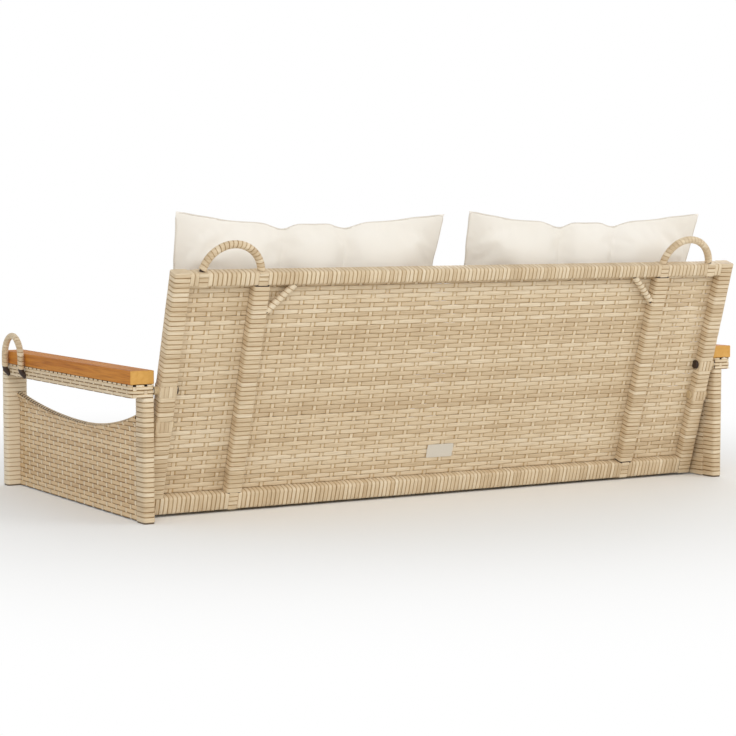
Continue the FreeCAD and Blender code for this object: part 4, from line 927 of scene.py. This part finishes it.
def gathered(own):
    """Draw the cover in along the two tuft lines: notches in the upper edge, creases that run down from them,
    and four dimples. The front is crowned, the rear lies on the back."""
    past = np.abs(own[:, 0]) - TUFT + 0.004 * np.sin(own[:, 2] / 0.022) * np.sign(own[:, 0])
    height = own[:, 2] / pillow_half[2]
    slack = np.maximum(past, 0.0) / 0.028
    drop = SAG * slack * np.exp(1 - slack) + NOTCH * np.exp(-np.abs(past) / 0.006)
    crease = CREASE * np.exp(-np.abs(past) / 0.010) * np.clip((height + 0.1) / 0.8, 0.0, 1.0)
    ear = EAR * np.clip(own[:, 0] / pillow_half[0] - 0.7, 0.0, 1.0) / 0.3
    own[:, 2] += (ear - drop) * np.clip((height - 0.4) / 0.5, 0.0, 1.0)
    far = np.hypot(np.abs(own[:, 0]) - TUFT, np.abs(own[:, 2]) - TUFT_ROW)
    dimple = DIMPLE * np.exp(-(far / 0.011) ** 2) + HOLLOW * np.exp(-far / 0.028)
    crown = CROWN * np.clip(1 - (own[:, 0] / pillow_half[0]) ** 2, 0.0, 1.0) * np.clip(1 - height ** 2, 0.0, 1.0)
    own[:, 1] *= (1 - crease) * (1 - dimple) * (1 + np.where(own[:, 1] < 0, crown, 0.0))
    return own


for word, side in (("left", 1.0), ("right", -1.0)):
    pillow = stuffed(word + "_pillow", word + "_back_cushion", pillow_shrink, pillow_sewn,
                     voxel=0.005, limit=0.022, pressure=4.0, slack=0.035)
    middle = pillow_centre * np.array([side, 1.0, 1.0])
    up = middle + gathered(spots_of(pillow) @ stand.T - middle)
    up[:, 1] = np.minimum(up[:, 1], pillow_high.y - 0.0002)
    move_spots(pillow, up @ stand)
    laid(pillow, word + "_back_cushion")
    piped(pillow, word + "_pillow_cord", word + "_back_cushion", (up - middle)[:, [0, 2]], up[:, 1] - middle[1],
          band=0.004, radius=0.0013)

pad_low, pad_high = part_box("seat_cushion")
PAD_HELD, UPPER_CORD, LOWER_CORD = 0.004, 0.006, -0.012


def pad_shrink(spots):
    """Thin the pad a little, so that it has room to swell."""
    thinner = spots.copy()
    middle = (pad_low.z + pad_high.z) / 2
    thinner[:, 2] = middle + (thinner[:, 2] - middle) * PAD_THINNED
    return thinner


def pad_sewn(spots):
    """Held where it lies on the deck."""
    return np.clip(1.0 - (spots[:, 2] - pad_low.z - PAD_HELD) / PAD_HELD, 0.0, 1.0)


pad = stuffed("seat_pad", "seat_cushion", pad_shrink, pad_sewn, voxel=0.008, limit=0.008, pressure=0.35, slack=0.0)
settled = spots_of(pad)
settled[:, 2] = np.maximum(settled[:, 2], pad_low.z)
# The pillows press the rear of the pad down.
PRESSED_FROM, PRESSED_RUN, PRESSED_BY = 0.070, 0.035, 0.0078
near_back = np.clip((settled[:, 1] - PRESSED_FROM) / PRESSED_RUN, 0.0, 1.0)
lift = np.clip((settled[:, 2] - pad_low.z) / (pad_high.z - pad_low.z), 0.0, 1.0)
settled[:, 2] -= PRESSED_BY * near_back ** 2 * (3 - 2 * near_back) * lift ** 2
move_spots(pad, settled)
laid(pad, "seat_cushion")
pad_middle = np.array((pad_low + pad_high) / 2)
for word, seam in (("upper", pad_middle[2] + UPPER_CORD), ("lower", pad_middle[2] + LOWER_CORD)):
    piped(pad, word + "_pad_cord", "seat_cushion", (settled - pad_middle)[:, :2], settled[:, 2] - seam,
          band=0.0045, radius=0.0022)

# Studio: a pale floor that fades to white, a white surround, broad soft lamps,
# and the camera where the photograph was taken.
bpy.ops.mesh.primitive_plane_add(size=30.0, location=(0.0, 0.0, -0.0003))
floor = bpy.context.object
floor.name = "studio_floor"
pale = finish("pale_studio_floor")
place = add(pale, "TexCoord").outputs["Object"]
away = add(pale, "VectorMath", {"operation": "LENGTH"}, {"Vector": place})
fade = add(pale, "MapRange", {"interpolation_type": "SMOOTHSTEP", "From Min": 0.40, "From Max": 1.4},
           {"Value": away.outputs["Value"]})
rays = add(pale, "LightPath")
seen = add(pale, "Math", {"operation": "MAXIMUM"},
           {0: rays.outputs["Is Camera Ray"], 1: rays.outputs["Is Glossy Ray"]})
share = add(pale, "Math", {"operation": "MULTIPLY"}, {0: fade, 1: seen})
matt = add(pale, "BsdfDiffuse", {"Color": linear("#F8F8F6")})
white = add(pale, "Emission", {"Color": (1.0, 1.0, 1.0, 1.0), "Strength": 1.0})
blend = add(pale, "MixShader", None, {0: share, 1: matt, 2: white})
add(pale, "OutputMaterial", None, {"Surface": blend})
floor.data.materials.append(pale)

world = bpy.data.worlds.new("white_surround")
bpy.context.scene.world = world
world.use_nodes = True
world.node_tree.nodes.clear()
rays = add(world, "LightPath")
seen = add(world, "Math", {"operation": "MAXIMUM"},
           {0: rays.outputs["Is Camera Ray"], 1: rays.outputs["Is Glossy Ray"]})
seen_through = add(world, "Math", {"operation": "MAXIMUM"}, {0: seen, 1: rays.outputs["Is Transmission Ray"]})
glow = add(world, "MapRange", {"To Min": 0.60, "To Max": 1.0}, {"Value": seen_through})
sky = add(world, "Background", {"Color": (1.0, 1.0, 1.0, 1.0)}, {"Strength": glow})
add(world, "OutputWorld", None, {"Surface": sky})


def softbox(name, place, aim, size, power):
    """A broad square lamp turned towards a point."""
    bpy.ops.object.light_add(type="AREA", location=place)
    lamp = bpy.context.object
    lamp.name = name
    lamp.data.shape = "SQUARE"
    lamp.data.size = size
    lamp.data.energy = power
    lamp.rotation_euler = (Vector(aim) - Vector(place)).to_track_quat("-Z", "Y").to_euler()


softbox("key_softbox", (1.7, 2.8, 1.9), (0.0, 0.1, 0.2), size=1.8, power=36.0)
softbox("fill_softbox", (-2.2, 2.2, 1.4), (0.0, 0.1, 0.2), size=1.8, power=22.0)
softbox("front_softbox", (-2.2, -2.2, 1.6), (0.0, 0.0, 0.2), size=1.8, power=24.0)

AZIMUTH, PITCH = math.radians(30.467), math.radians(4.399)
FOCAL_PIXELS, PHOTO_PIXELS = 2081.859, 736
lens = bpy.data.cameras.new("photo_camera")
lens.sensor_width = 36.0
lens.lens = FOCAL_PIXELS / PHOTO_PIXELS * lens.sensor_width
camera = bpy.data.objects.new("photo_camera", lens)
bpy.context.collection.objects.link(camera)
camera.location = (1.7205, rear_high.y + 2.6567, 0.4438)
gaze = Vector((-math.sin(AZIMUTH) * math.cos(PITCH), -math.cos(AZIMUTH) * math.cos(PITCH), -math.sin(PITCH)))
camera.rotation_euler = gaze.to_track_quat("-Z", "Y").to_euler()
bpy.context.scene.camera = camera
bpy.context.scene.view_settings.view_transform = "Standard"
